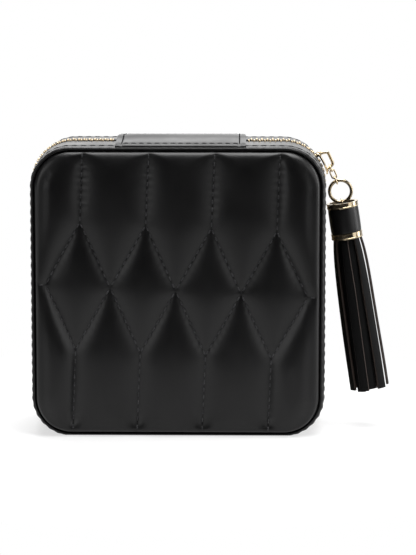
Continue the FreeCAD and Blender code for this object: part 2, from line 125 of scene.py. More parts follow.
class CaseColours(bpy.types.PropertyGroup):
    """Colours of the case's finishes."""

    leather: colour("Leather", "Black leather", (0.0042, 0.0041, 0.0043))
    raw_edge: colour("Raw edge", "Cut edge of the leather", (0.022, 0.012, 0.008))
    thread: colour("Thread", "Sewing thread", (0.011, 0.011, 0.012))
    tape: colour("Tape", "Woven tape of the zip", (0.012, 0.012, 0.013))
    metal: colour("Metal", "Pale gold plating", (0.74, 0.61, 0.41))
    suede: colour("Suede", "Suede cloth inside the case", (0.40, 0.33, 0.27))
    board: colour("Board", "Fibre board", (0.016, 0.015, 0.014))
    foam: colour("Foam", "Foam under the quilting", (0.72, 0.68, 0.55))
    mirror: colour("Mirror", "Silvered glass", (0.88, 0.90, 0.90))
    plug: colour("Plug", "Plug inside the tassel's cap", (0.03, 0.028, 0.027))
    floor: colour("Floor", "Studio floor", (0.93, 0.93, 0.93))


class Value:
    """A shader socket on which sums can be written."""

    def __init__(self, nodes, socket):
        self.nodes = nodes
        self.socket = socket

    def maths(self, operation, first, second):
        return self.nodes.node("ShaderNodeMath", {"operation": operation}, {0: first, 1: second})

    def __add__(self, other):
        return self.maths("ADD", self, other)

    def __radd__(self, other):
        return self.maths("ADD", other, self)

    def __sub__(self, other):
        return self.maths("SUBTRACT", self, other)

    def __rsub__(self, other):
        return self.maths("SUBTRACT", other, self)

    def __mul__(self, other):
        return self.maths("MULTIPLY", self, other)

    def __rmul__(self, other):
        return self.maths("MULTIPLY", other, self)


class Nodes:
    """A node tree while its nodes are being made."""

    def __init__(self, tree):
        self.tree = tree

    def node(self, kind, settings=None, values=None, output=0):
        """Makes any node, with its settings and with the values or links of its inputs."""
        made = self.tree.nodes.new(kind)
        for key, value in (settings or {}).items():
            if key == "stops":
                set_stops(made.color_ramp, value)
            else:
                setattr(made, key, value)
        for key, value in (values or {}).items():
            self.feed(made.inputs[key], value)
        return Value(self, made.outputs[output])

    def feed(self, socket, value):
        if isinstance(value, Value):
            self.tree.links.new(value.socket, socket)
        elif hasattr(value, "__len__") and len(value) == 3 and socket.type == "RGBA":
            socket.default_value = (*value, 1.0)
        else:
            socket.default_value = value

    def ray(self, first, second):
        """One for rays of either kind, and nothing for others."""
        kinds = [self.node("ShaderNodeLightPath", output=kind) for kind in (first, second)]
        return self.node("ShaderNodeMath", {"operation": "MAXIMUM"}, dict(enumerate(kinds)))


class Finish(Nodes):
    """A material while its nodes are being made."""

    def __init__(self, name):
        self.material = bpy.data.materials.new(name)
        self.material.use_nodes = True
        super().__init__(self.material.node_tree)
        self.shader = self.tree.nodes["Principled BSDF"]

    def place(self):
        return self.node("ShaderNodeTexCoord", output="Object")

    def noise(self, place, scale, detail=3.0, roughness=0.55):
        """Noise with so many features in a metre."""
        values = {"Vector": place, "Scale": scale, "Detail": detail, "Roughness": roughness}
        return self.node("ShaderNodeTexNoise", None, values)

    def wave(self, place, direction, scale, distortion=0.0):
        values = {"Vector": place, "Scale": scale, "Distortion": distortion}
        return self.node("ShaderNodeTexWave", {"bands_direction": direction}, values)

    def levels(self, value, *stops):
        """A grey level that follows a value through (value, level) stops."""
        return self.node("ShaderNodeValToRGB", {"stops": stops}, {"Fac": value})

    def shades(self, share, tone, low, high):
        """A tone that goes from one of its shades to another."""
        values = {0: share, 6: lighter(tone, low), 7: lighter(tone, high)}
        return self.node("ShaderNodeMix", {"data_type": "RGBA"}, values, output=2)

    def bump(self, height, strength, depth):
        """A bumpy surface, its depth in millimetres."""
        values = {"Height": height, "Strength": strength, "Distance": depth * MM}
        return self.node("ShaderNodeBump", None, values)

    def set(self, **values):
        for key, value in values.items():
            self.feed(self.shader.inputs[key.replace("_", " ")], value)
        return self.material


def set_stops(ramp, stops):
    while len(ramp.elements) < len(stops):
        ramp.elements.new(1.0)
    for element, (place, level) in zip(ramp.elements, stops):
        element.position = place
        element.color = (level, level, level, 1.0)


def lighter(tone, factor):
    return tuple(min(1.0, part * factor) for part in tone)


def leather_finish(name, tone, shine=0.36, grain=0.16, gloss=0.28):
    """Smooth dyed leather: fine pebbled grain, a little cloudiness and worn shine."""
    made = Finish(name)
    place = made.place()
    pebbles = made.node("ShaderNodeTexVoronoi", {"feature": "SMOOTH_F1"},
                        {"Vector": place, "Scale": 1500.0, "Smoothness": 0.7})
    cloud = made.noise(place, scale=55.0, detail=4.0)
    pores = made.noise(place, scale=2600.0, detail=2.0)
    return made.set(Base_Color=made.shades(cloud, tone, 0.75, 1.3), Specular_IOR_Level=gloss,
                    Roughness=made.levels(cloud, (0.3, shine - 0.04), (0.7, shine + 0.07)),
                    Normal=made.bump(pebbles * 0.7 + pores * 0.3, strength=grain, depth=0.2))


def raw_edge_finish(name, tone):
    """Cut leather edge: fibrous, dull and brown."""
    made = Finish(name)
    fibres = made.noise(made.place(), scale=1800.0, detail=4.0)
    return made.set(Base_Color=made.shades(fibres, tone, 0.35, 1.5), Roughness=0.8,
                    Normal=made.bump(fibres, strength=0.4, depth=0.3))


def thread_finish(name, tone, rough=0.8, gloss=0.06):
    """Waxed thread with a twisted lay along its own length."""
    made = Finish(name)
    lay = made.wave(made.node("ShaderNodeUVMap"), "DIAGONAL", scale=6.0, distortion=0.6)
    return made.set(Base_Color=made.shades(lay, tone, 0.6, 1.8), Roughness=rough, Specular_IOR_Level=gloss,
                    Normal=made.bump(lay, strength=0.5, depth=0.1))


def woven_finish(name, tone):
    """Plain weave of fine yarns."""
    made = Finish(name)
    place = made.place()
    rows = made.wave(place, "Y", scale=620.0)
    across = made.wave(place, "DIAGONAL", scale=420.0)
    fuzz = made.noise(place, scale=3000.0, detail=2.0)
    weave = rows * across + fuzz * 0.25
    return made.set(Base_Color=made.shades(weave, tone, 0.55, 1.9), Roughness=0.85,
                    Normal=made.bump(weave, strength=0.55, depth=0.2))


def metal_finish(name, tone, shine=0.17):
    """Polished plating with fine handling marks."""
    made = Finish(name)
    place = made.place()
    smear = made.noise(place, scale=240.0, detail=4.0)
    marks = made.noise(place, scale=5200.0, detail=2.0)
    return made.set(Base_Color=made.shades(smear, tone, 0.86, 1.06), Metallic=1.0,
                    Roughness=made.levels(smear, (0.3, shine - 0.05), (0.75, shine + 0.10)),
                    Normal=made.bump(marks, strength=0.04, depth=0.1))


def suede_finish(name, tone):
    """Short napped cloth, brushed in patches."""
    made = Finish(name)
    place = made.place()
    nap = made.noise(place, scale=3400.0)
    brushed = made.noise(place, scale=40.0)
    return made.set(Base_Color=made.shades(nap * 0.55 + brushed * 0.45, tone, 0.68, 1.22), Roughness=0.93,
                    Sheen_Weight=0.35, Sheen_Roughness=0.5, Normal=made.bump(nap, strength=0.5, depth=0.3))


def board_finish(name, tone):
    """Pressed fibre board."""
    made = Finish(name)
    flecks = made.noise(made.place(), scale=900.0, detail=5.0, roughness=0.7)
    return made.set(Base_Color=made.shades(flecks, tone, 0.6, 1.3), Roughness=0.88,
                    Normal=made.bump(flecks, strength=0.3, depth=0.3))


def foam_finish(name, tone):
    """Open-celled foam."""
    made = Finish(name)
    pores = made.node("ShaderNodeTexVoronoi", None, {"Vector": made.place(), "Scale": 1300.0})
    return made.set(Base_Color=made.shades(pores, tone, 1.1, 0.55), Roughness=0.95,
                    Normal=made.bump(pores, strength=0.6, depth=0.4))


def mirror_finish(name, tone):
    """Silvered glass with the faintest smears."""
    made = Finish(name)
    smear = made.noise(made.place(), scale=70.0, detail=5.0)
    return made.set(Base_Color=made.shades(smear, tone, 0.98, 1.0), Metallic=1.0,
                    Roughness=made.levels(smear, (0.45, 0.01), (0.8, 0.05)))


FINISHES = {}


def finish(name):
    """A finish by its name, made when it is first asked for."""
    if name in FINISHES:
        return FINISHES[name]
    tones = bpy.context.scene.case_colours
    makers = {
        "case_leather": lambda n: leather_finish(n, tones.leather),
        "quilt_leather": lambda n: leather_finish(n, tones.leather, shine=0.35, grain=0.12),
        "fringe_leather": lambda n: leather_finish(n, lighter(tones.leather, 0.7),
                                                   shine=0.55, grain=0.3, gloss=0.1),
        "raw_edge": lambda n: raw_edge_finish(n, tones.raw_edge),
        "sewing_thread": lambda n: thread_finish(n, tones.thread),
        # The quilting thread is the black sewing thread lightened twofold as painted highlight on the stitches,
        # and it also has real extra gloss.
        "quilt_thread": lambda n: thread_finish(n, lighter(tones.thread, 2.0), rough=0.4, gloss=0.5),
        "zip_tape": lambda n: woven_finish(n, tones.tape),
        "pale_gold": lambda n: metal_finish(n, tones.metal),
        "deep_gold": lambda n: metal_finish(n, lighter(tones.metal, 0.55)),
        "zip_gold": lambda n: metal_finish(n, lighter(tones.metal, 0.72), shine=0.33),
        "suede": lambda n: suede_finish(n, tones.suede),
        "fibre_board": lambda n: board_finish(n, tones.board),
        "foam": lambda n: foam_finish(n, tones.foam),
        "mirror_silver": lambda n: mirror_finish(n, tones.mirror),
        "cap_plug": lambda n: leather_finish(n, tones.plug, shine=0.6, grain=0.4),
    }
    FINISHES[name] = makers[name](name)
    return FINISHES[name]


def start_clean():
    if bpy.context.object and bpy.context.object.mode != "OBJECT":
        bpy.ops.object.mode_set(mode="OBJECT")
    bpy.ops.object.select_all(action="DESELECT")


def only(piece):
    start_clean()
    piece.select_set(True)
    bpy.context.view_layer.objects.active = piece


def edit(piece):
    only(piece)
    bpy.ops.object.mode_set(mode="EDIT")
    bpy.ops.mesh.select_all(action="SELECT")


def edit_done():
    bpy.ops.object.mode_set(mode="OBJECT")


def named(piece, name):
    piece.name = name
    piece.data.name = name
    return piece


def coords(piece):
    flat = np.zeros(len(piece.data.vertices) * 3)
    piece.data.vertices.foreach_get("co", flat)
    return flat.reshape(-1, 3)


def set_coords(piece, points):
    piece.data.vertices.foreach_set("co", np.ascontiguousarray(points, dtype=np.float64).ravel())
    piece.data.update()


def sew_up(piece, gap=0.01):
    """Merges points that lie together and turns all faces outwards."""
    edit(piece)
    bpy.ops.mesh.remove_doubles(threshold=gap * MM)
    bpy.ops.mesh.normals_make_consistent(inside=False)
    edit_done()


def close_up(piece, closing):
    """Closes a piece along its open edges and turns all faces outwards; closing works on the selected edges."""
    edit(piece)
    bpy.ops.mesh.select_all(action="DESELECT")
    bpy.ops.mesh.select_mode(type="EDGE")
    bpy.ops.mesh.select_non_manifold(extend=False, use_wire=False, use_boundary=True,
                                     use_multi_face=False, use_non_contiguous=False, use_verts=False)
    closing()
    bpy.ops.mesh.select_all(action="SELECT")
    bpy.ops.mesh.normals_make_consistent(inside=False)
    edit_done()


def smooth(piece, angle=35.0):
    only(piece)
    bpy.ops.object.shade_smooth_by_angle(angle=math.radians(angle))


def modifier(piece, kind, **settings):
    """Adds a modifier and applies it."""
    only(piece)
    made = piece.modifiers.new(kind.lower(), kind)
    for key, value in settings.items():
        setattr(made, key, value)
    bpy.ops.object.modifier_apply(modifier=made.name)


def subdivided(piece, levels=1):
    modifier(piece, "SUBSURF", levels=levels, render_levels=levels)


def clad(piece, finish_name):
    piece.data.materials.clear()
    piece.data.materials.append(finish(finish_name))


def fitted(piece, body, slot, *replaced):
    """Puts a finished piece on its body, in the place of the nodes that it stands for."""
    if body is not None:
        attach(piece, body)
    if replaced:
        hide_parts(*replaced)
    return piece


def dressed(piece, angle, finish_name, body, slot, *replaced):
    """Smooths a piece where its faces meet at less than an angle, clads it and puts it on its body."""
    smooth(piece, angle)
    clad(piece, finish_name)
    return fitted(piece, body, slot, *replaced)


def grid(name, columns, rows, points):
    """A grid whose points, row by row, are set to an array in millimetres."""
    start_clean()
    bpy.ops.mesh.primitive_grid_add(x_subdivisions=columns, y_subdivisions=rows, size=1.0)
    piece = named(bpy.context.object, name)
    set_coords(piece, np.asarray(points).reshape(-1, 3) * MM)
    return piece


def joined(name, parts):
    start_clean()
    for part in parts:
        part.select_set(True)
    bpy.context.view_layer.objects.active = parts[0]
    if len(parts) > 1:
        bpy.ops.object.join()
    return named(bpy.context.object, name)


def copies(name, pattern, places):
    """One piece of many copies of a pattern, each moved by its own matrix; the pattern goes."""
    made = []
    for place in places:
        mesh = pattern.data.copy()
        mesh.transform(place)
        part = bpy.data.objects.new(name, mesh)
        bpy.context.scene.collection.objects.link(part)
        made.append(part)
    bpy.data.objects.remove(pattern)
    return joined(name, made)


def rim_square(mm, inset=0.0):
    """Half width, bottom, top and corner radius of the rim's outline, or of one that lies inside it."""
    return mm["side"] / 2 - inset, inset, mm["side"] - inset, mm["corner"] - inset


def round_runs(half_width, bottom, top, radius):
    """A round-cornered rectangle's runs, from the middle of its bottom to the right side first.

    A straight is its length, start and direction. A corner is its length, centre and first angle in degrees.
    """
    wide = half_width - radius
    tall = top - bottom - 2 * radius
    quarter = radius * math.pi / 2
    return ((wide, (0, bottom), (1, 0)), (quarter, (wide, bottom + radius), -90),
            (tall, (half_width, bottom + radius), (0, 1)), (quarter, (wide, top - radius), 0),
            (2 * wide, (wide, top), (-1, 0)), (quarter, (-wide, top - radius), 90),
            (tall, (-half_width, top - radius), (0, -1)), (quarter, (-wide, bottom + radius), 180),
            (wide, (-wide, bottom), (1, 0)))


def round_length(*outline):
    return sum(run for run, _, _ in round_runs(*outline))


def round_square(count, half_width, bottom, top, radius):
    """Points evenly spaced round a round-cornered rectangle, and their outward directions."""
    runs = round_runs(half_width, bottom, top, radius)
    total = round_length(half_width, bottom, top, radius)
    points = np.zeros((count, 2))
    outward = np.zeros((count, 2))
    for index in range(count):
        along = total * index / count
        for run, start, course in runs:
            if along <= run:
                break
            along -= run
        if isinstance(course, tuple):
            points[index] = (start[0] + course[0] * along, start[1] + course[1] * along)
            outward[index] = (course[1], -course[0])
        else:
            turn = math.radians(course) + along / radius
            outward[index] = (math.cos(turn), math.sin(turn))
            points[index] = np.array(start) + radius * outward[index]
    return points, outward


def swept(name, course, outward, profile, clamp_floor=False):
    """A closed band: a profile of (y, outward offset) points carried round a course.

    Each profile point is a pair of numbers, or of arrays with a value for each point of the course.
    """
    count = len(course)
    rows = []
    for y, out in profile:
        row = np.zeros((count + 1, 3))
        line = course + outward * np.reshape(np.broadcast_to(out, (count,)), (-1, 1))
        row[:count, 0] = line[:, 0]
        row[:count, 1] = y
        row[:count, 2] = np.maximum(line[:, 1], 0.0) if clamp_floor else line[:, 1]
        row[count] = row[0]
        rows.append(row)
    return grid(name, count, len(rows) - 1, np.array(rows))


def lathe(name, profile, steps, closed=True):
    """A turned piece about the Z axis: a line of (radius, z) points, spun all round."""
    points = list(profile) + ([profile[0]] if closed else [])
    start_clean()
    bpy.ops.mesh.primitive_grid_add(x_subdivisions=len(points) - 1, y_subdivisions=1, size=1.0)
    piece = named(bpy.context.object, name)
    line = np.array([(radius, 0.0, z) for radius, z in points])
    set_coords(piece, np.vstack([line, line]) * MM)
    edit(piece)
    bpy.ops.mesh.remove_doubles(threshold=0.001 * MM)
    bpy.ops.mesh.spin(steps=steps, angle=2 * math.pi, center=(0, 0, 0), axis=(0, 0, 1))
    bpy.ops.mesh.select_all(action="SELECT")
    bpy.ops.mesh.remove_doubles(threshold=0.002 * MM)
    bpy.ops.mesh.normals_make_consistent(inside=False)
    edit_done()
    return piece


def moved(piece, matrix):
    """Carries a piece's mesh by a matrix given in millimetres."""
    scaled = matrix.copy()
    scaled.translation = matrix.translation * MM
    piece.data.transform(scaled)
    piece.data.update()
    return piece


# The share of a stitch's pitch over which its thread lies above the leather.
THREAD_SHARE, QUILT_THREAD_SHARE = 0.8, 0.66


def stitch_pattern(span, thickness):
    """One stitch along X: a thread that dives into the leather at both ends."""
    fullness, dive = 0.62, 0.75
    start_clean()
    bpy.ops.mesh.primitive_uv_sphere_add(segments=8, ring_count=7, radius=0.5, rotation=(0, math.pi / 2, 0))
    bpy.ops.object.transform_apply(location=False, rotation=True, scale=False)
    piece = bpy.context.object
    points = coords(piece)
    share = points[:, 0] * 2
    full = np.sign(share) * np.abs(share) ** fullness
    points[:, 0] = full * span / 2 * MM
    points[:, 1:] *= thickness * MM
    points[:, 2] -= np.abs(full) ** 4 * thickness * dive * MM
    set_coords(piece, points)
    smooth(piece, 80.0)
    return piece


def frame_at(point, along, up):
    """A matrix in metres at a point in millimetres, X along one direction and Z near another."""
    x_axis = Vector(along).normalized()
    side = Vector(up).cross(x_axis).normalized()
    z_axis = x_axis.cross(side)
    turn = Matrix((x_axis, side, z_axis)).transposed().to_4x4()
    return Matrix.Translation(Vector(point) * MM) @ turn


def sewing(name, places, span, body, thread="sewing_thread"):
    """A row of stitches as one piece."""
    thickness = bpy.context.scene.case_sizes.thread / MM
    piece = copies(name, stitch_pattern(span, thickness), places)
    clad(piece, thread)
    return fitted(piece, body, "black_leather")


def sizes_mm():
    """The case's lengths in millimetres, by name."""
    held = bpy.context.scene.case_sizes
    return {name: getattr(held, name) / MM for name in CaseSizes.__annotations__ if name not in NOT_LENGTHS}


def stand_on_floor(piece):
    """Flattens what would reach below the floor that the case stands on."""
    points = coords(piece)
    points[:, 2] = np.maximum(points[:, 2], 0.0)
    set_coords(piece, points)


POINTS_PER_STITCH = 7
# The wall leather's section as (depth, outward, share of the puckering). Depth is from the zip's middle
# for the edge that is turned in, from the sewing for the stretch beside it, and from the rim for the roll.
WALL_TURNED_IN = ((7.4, -0.15, 0), (5.4, -0.08, 0), (4.72, 0.12, 0), (4.45, 0.5, 0), (4.55, 0.86, 0),
                  (4.9, 1.07, 0), (6.0, 1.10, 0), (9.5, 1.02, 0), (13.0, 0.95, 0))
WALL_BY_SEWING = ((-3.2, 0.86, 0), (-1.8, 0.82, 0.03), (-0.8, 0.70, 0.07), (-0.3, 0.46, 0.10),
                  (0.0, 0.34, 0.12), (0.3, 0.42, 0.12), (0.8, 0.6, 0.15), (1.6, 0.7, 0.16),
                  (2.8, 0.72, 0.16), (4.2, 0.64, 0.14))
WALL_AT_RIM = ((-0.5, 0.44, 0.11), (-0.12, 0.2, 0.09), (0.12, -0.1, 0.05), (0.22, -0.42, 0), (0.1, -0.8, 0),
               (-0.3, -1.1, 0), (-1.2, -1.2, 0), (-2.2, -1.2, 0))


def wall_piece(name, side, body, node):
    """One half's wall leather: turned in at the zip, sewn near the rim and rolled over it."""
    mm = sizes_mm()
    outline = rim_square(mm)
    stitches = round(round_length(*outline) / mm["rim_stitch"])
    course, outward = round_square(stitches * POINTS_PER_STITCH, *outline)
    phase = 2 * math.pi * np.arange(len(course)) / POINTS_PER_STITCH
    near_top = np.clip((course[:, 1] - 0.9 * mm["side"]) / (0.1 * mm["side"]), 0, 1)
    pucker = -np.cos(phase) * (1 - 0.75 * near_top)
    rim = mm["half_depth"]
    sewn = rim - mm["stitch_inset"]
    fullness, fullness_fade = (0.5 if side < 0 else 0.0), 2.5
    fuller = fullness * np.clip(outward[:, 0], 0, 1) ** 2
    profile = []
    for start, section in ((0.0, WALL_TURNED_IN), (sewn, WALL_BY_SEWING), (rim, WALL_AT_RIM)):
        for depth, out, share in section:
            y = start + depth
            out_here = out + share * pucker + fuller * np.clip((rim - y) / fullness_fade, 0, 1)
            profile.append((side * y, out_here))
    piece = swept(name, course, outward, profile, clamp_floor=True)
    sew_up(piece)
    modifier(piece, "SOLIDIFY", thickness=0.25 * MM, offset=-1.0)
    stand_on_floor(piece)
    dressed(piece, 60.0, "case_leather", body, "black_leather", node)
    thread_out = 0.7
    places = []
    for middle in range(POINTS_PER_STITCH // 2, len(course), POINTS_PER_STITCH):
        out = outward[middle]
        along = course[(middle + 2) % len(course)] - course[middle - 2]
        x, z = course[middle] + out * (thread_out + fuller[middle])
        places.append(frame_at((x, side * sewn, max(z, mm["thread"] / 2)), (along[0], 0, along[1]),
                               (out[0], 0, out[1])))
    stand_on_floor(sewing(name + "_stitches", places, mm["rim_stitch"] * THREAD_SHARE, body))


class CASE_OT_walls(bpy.types.Operator):
    """Wall leather of the base and the lid, with its sewing"""

    bl_idname = "case.walls"
    bl_label = "Walls"

    def execute(self, context):
        wall_piece("lid_wall", -1, "lid", "front_wall_leather")
        wall_piece("base_wall", 1, "base", "rear_wall_leather")
        return {"FINISHED"}


def panel_edge(mm):
    """Half of the quilted panel's width, and the radius of its corners."""
    return mm["side"] / 2 - mm["panel_inset"], mm["corner"] - mm["panel_inset"]


def panel_lines(mm):
    """The quilted panel's grid lines across and up, on the pattern's own seams."""
    edge, _ = panel_edge(mm)
    outer = 2 * mm["quilt_pitch"]
    tip = mm["quilt_height"] / 2
    lines_per_half, upright_rows = 20, 38
    right = edge - (edge - outer) * np.array([0.0, 0.1, 0.24, 0.42, 0.64, 0.82])
    middle = np.linspace(-outer, outer, 8 * lines_per_half + 1)
    across = np.concatenate([-right, middle, right[::-1]])
    share = np.linspace(0, 1, upright_rows + 1)[:-1]
    high = edge - (edge - tip) * (share + 0.55 * share * (share - 1))
    centre = np.linspace(-tip, tip, 2 * lines_per_half + 1)
    up = np.concatenate([-high, centre, high[::-1]])
    return across, up


def seam_distance(u, w, mm):
    """Distance of pattern points from the nearest quilting seam, and how far along that seam they are."""
    best = np.full(u.shape, 1e9)
    along = np.zeros(u.shape)
    for start, end in quilt_seams(mm):
        run = np.hypot(end[0] - start[0], end[1] - start[1])
        cx, cz = (end[0] - start[0]) / run, (end[1] - start[1]) / run
        t = np.clip((u - start[0]) * cx + (w - start[1]) * cz, 0, run)
        gap = np.hypot(u - start[0] - t * cx, w - start[1] - t * cz)
        nearer = gap < best
        best[nearer] = gap[nearer]
        along[nearer] = t[nearer]
    return best, along


def quilt_seams(mm):
    """Quilting seams as pairs of pattern points about the panel's middle."""
    pitch, tip = mm["quilt_pitch"], mm["quilt_height"] / 2
    edge, _ = panel_edge(mm)
    seams = []
    for column in range(4):
        middle = (column - 1.5) * pitch
        for end in (-1, 1):
            top = (middle, end * tip)
            seams.append((top, (middle, end * edge)))
            seams.append((top, (middle - pitch / 2, 0.0)))
            seams.append((top, (middle + pitch / 2, 0.0)))
    seams.append(((2 * pitch, 0.0), (edge, 0.0)))
    seams.append(((-2 * pitch, 0.0), (-edge, 0.0)))
    return seams


def on_panel(u, w, mm, skew):
    """Pattern points turned and moved a little, kept to the panel's edge and drawn into its round corners."""
    edge, radius = panel_edge(mm)
    x = u + (skew * w - mm["quilt_slide"]) * (1 - (u / edge) ** 6)
    z = w - (skew * u - mm["quilt_rise"]) * (1 - (w / edge) ** 6)
    start = edge - radius
    cu = np.clip((np.abs(x) - start) / radius, 0, 1)
    cw = np.clip((np.abs(z) - start) / radius, 0, 1)
    corner = (cu > 0) & (cw > 0)
    rx = np.sign(x) * (start + radius * cu * np.sqrt(1 - cw * cw / 2))
    rz = np.sign(z) * (start + radius * cw * np.sqrt(1 - cu * cu / 2))
    return np.where(corner, rx, x), np.where(corner, rz, z)


def edge_distance(x, z, mm):
    """How far panel points are inside the panel's edge."""
    edge, radius = panel_edge(mm)
    start = edge - radius
    ax, az = np.abs(x), np.abs(z)
    corner = (ax > start) & (az > start)
    straight = np.minimum(edge - ax, edge - az)
    turned = radius - np.hypot(ax - start, az - start)
    return np.maximum(np.where(corner, turned, straight), 0.0)


def eased(share):
    """A share from nothing to one that starts and ends gently."""
    share = np.clip(share, 0, 1)
    return share * share * (3 - 2 * share)


CLOTH = {"quality": 5, "mass": 0.15, "tension_stiffness": 12, "compression_stiffness": 12, "shear_stiffness": 6,
         "bending_stiffness": 0.8, "air_damping": 3, "pin_stiffness": 1.0, "use_pressure": True}


def inflate(piece, pinned, frames, pressure, scale):
    """Swells a sewn sheet with cloth under pressure, simulated large, because cloth is tuned for that."""
    set_coords(piece, coords(piece) * scale)
    group = piece.vertex_groups.new(name="sewn")
    group.add([int(index) for index in np.nonzero(pinned)[0]], 1.0, "REPLACE")
    only(piece)
    cloth = piece.modifiers.new("cloth", "CLOTH")
    for key, value in CLOTH.items():
        setattr(cloth.settings, key, value)
    cloth.settings.vertex_group_mass = group.name
    cloth.settings.uniform_pressure_force = pressure
    cloth.settings.effector_weights.gravity = 0.0
    cloth.collision_settings.use_collision = False
    cloth.point_cache.frame_start = 1
    cloth.point_cache.frame_end = frames
    for step in range(1, frames + 1):
        bpy.context.scene.frame_set(step)
    bpy.ops.object.modifier_apply(modifier=cloth.name)
    bpy.context.scene.frame_set(1)
    set_coords(piece, coords(piece) / scale)
    piece.vertex_groups.clear()


# Points nearer to a quilting seam than this lie on it.
ON_SEAM = 0.02
# Depth of the panel's edge and of its seams from the zip's middle, and how far its side goes back.
PANEL_BACK, PANEL_SEAT, PANEL_SIDE = 24.8, 26.35, 0.78


class CASE_OT_quilted_panel(bpy.types.Operator):
    """Padded leather panel of the lid, with its quilting seams"""

    bl_idname = "case.quilted_panel"
    bl_label = "Quilted panel"

    def execute(self, context):
        mm = sizes_mm()
        skew = context.scene.case_sizes.quilt_skew
        across, up = panel_lines(mm)
        u, w = np.meshgrid(across, up)
        gap, _ = seam_distance(u, w, mm)
        x, z = on_panel(u, w, mm, skew)
        inside = edge_distance(x, z, mm)
        points = np.stack([x, self.depth(gap, inside, z, mm), z + mm["side"] / 2], axis=-1)
        piece = grid("quilted_panel", len(across) - 1, len(up) - 1, points)
        self.split_seam_faces(piece, u.ravel(), w.ravel(), mm)
        self.swell(piece, gap.ravel(), inside.ravel(), mm)
        edit(piece)
        bpy.ops.mesh.vertices_smooth(factor=0.5, repeat=2, xaxis=False, yaxis=True, zaxis=False)
        edit_done()
        subdivided(piece)
        self.sew_down(piece, mm, skew)
        self.add_side(piece)
        dressed(piece, 50.0, "quilt_leather", "lid", "black_leather", "front_quilted_panel")
        self.add_stitches(piece, mm, skew)
        return {"FINISHED"}

    def depth(self, gap, inside, z, mm):
        """Where the leather lies along Y: swollen between seams, fuller along the edge and rolled over it."""
        upper_start, upper_fade = 48.0, 14.0
        upper = eased((z - upper_start) / upper_fade)
        edge_roll = 1.6 + 2.2 * upper
        dome = np.sqrt(1 - (1 - np.clip(inside / edge_roll, 0, 1)) ** 2)
        swell = 0.8 * mm["quilt_puff"]
        reach = np.clip(np.minimum(gap, 2.2 * inside) / (0.44 * mm["quilt_pitch"]), 0, 1)
        puff = swell * (1 - (1 - reach) ** 2)
        fullness, fullness_reach = 0.75 - 0.3 * upper, 4.5
        fuller = fullness * np.exp(-((inside / fullness_reach) ** 2))
        face = PANEL_SEAT + swell * fuller
        return -(PANEL_BACK + (face - PANEL_BACK) * dome + puff * (1 - fuller))

    def split_seam_faces(self, piece, u, w, mm):
        """Cuts the grid's faces along the diamonds' sides and marks every seam as a soft crease."""
        crease_weight = 0.2
        on_seam = seam_distance(u, w, mm)[0] < ON_SEAM

        def sewn(first, last):
            """Whether the straight between two grid points lies on a seam."""
            if not (on_seam[first] and on_seam[last]):
                return False
            middle_u = np.array([(u[first] + u[last]) / 2])
            middle_w = np.array([(w[first] + w[last]) / 2])
            return bool(seam_distance(middle_u, middle_w, mm)[0][0] < ON_SEAM)

        for first_corner, method in ((0, "FIXED"), (1, "FIXED_ALTERNATE")):
            edit(piece)
            bpy.ops.mesh.select_all(action="DESELECT")
            edit_done()
            for face in piece.data.polygons:
                corners = list(face.vertices)
                if len(corners) == 4 and sewn(*corners[first_corner::2]):
                    face.select = True
            bpy.ops.object.mode_set(mode="EDIT")
            bpy.ops.mesh.quads_convert_to_tris(quad_method=method, ngon_method="BEAUTY")
            edit_done()
        crease = piece.data.attributes.new("crease_edge", "FLOAT", "EDGE")
        marks = [crease_weight if sewn(*edge.vertices) else 0.0 for edge in piece.data.edges]
        crease.data.foreach_set("value", marks)

    def swell(self, piece, gap, inside, mm):
        """Lets the pad push the leather out between its seams, and less so near the panel's edge."""
        before = coords(piece)
        inflate(piece, (gap < ON_SEAM) | (inside < ON_SEAM), frames=24, pressure=6.0, scale=40.0)
        limit, edge_fade = 0.5 * mm["quilt_puff"] * MM, 7.0
        step = np.clip(coords(piece) - before, -limit, limit)
        set_coords(piece, before + step * eased(inside / edge_fade)[:, None])

    def pattern_place(self, x, z, mm, skew):
        """The pattern point of a panel point, away from the round corners."""
        edge, _ = panel_edge(mm)
        u, w = x.copy(), z.copy()
        for _ in range(4):
            u, w = (x - (skew * w - mm["quilt_slide"]) * (1 - (u / edge) ** 6),
                    z + (skew * u - mm["quilt_rise"]) * (1 - (w / edge) ** 6))
        return u, w

    def sew_down(self, piece, mm, skew):
        """Draws the leather in along each seam and puckers it from stitch to stitch."""
        drawn_in, drawn_reach = 0.16, 0.6
        pucker, pucker_reach = 0.15, 1.5
        points = coords(piece) / MM
        x, z = points[:, 0], points[:, 2] - mm["side"] / 2
        gap, along = seam_distance(*self.pattern_place(x, z, mm, skew), mm)
        uneven = 0.65 + 0.35 * np.sin(0.37 * x + 0.91 * points[:, 2]) * np.cos(0.23 * points[:, 2])
        ripple = pucker * np.cos(2 * math.pi * along / mm["quilt_stitch"]) * uneven
        fade = np.exp(-gap / pucker_reach) * np.clip(edge_distance(x, z, mm) / 3.0, 0, 1)
        points[:, 1] += fade * (drawn_in * np.exp(-gap / drawn_reach) + ripple * np.clip(gap / 0.5, 0.35, 1))
        set_coords(piece, points * MM)

    def add_side(self, piece):
        """Takes the panel's edge back to the board and closes the panel there."""
        def closing():
            bpy.ops.mesh.extrude_region_move(TRANSFORM_OT_translate={"value": (0, PANEL_SIDE * MM, 0)})
            bpy.ops.mesh.fill()

        close_up(piece, closing)

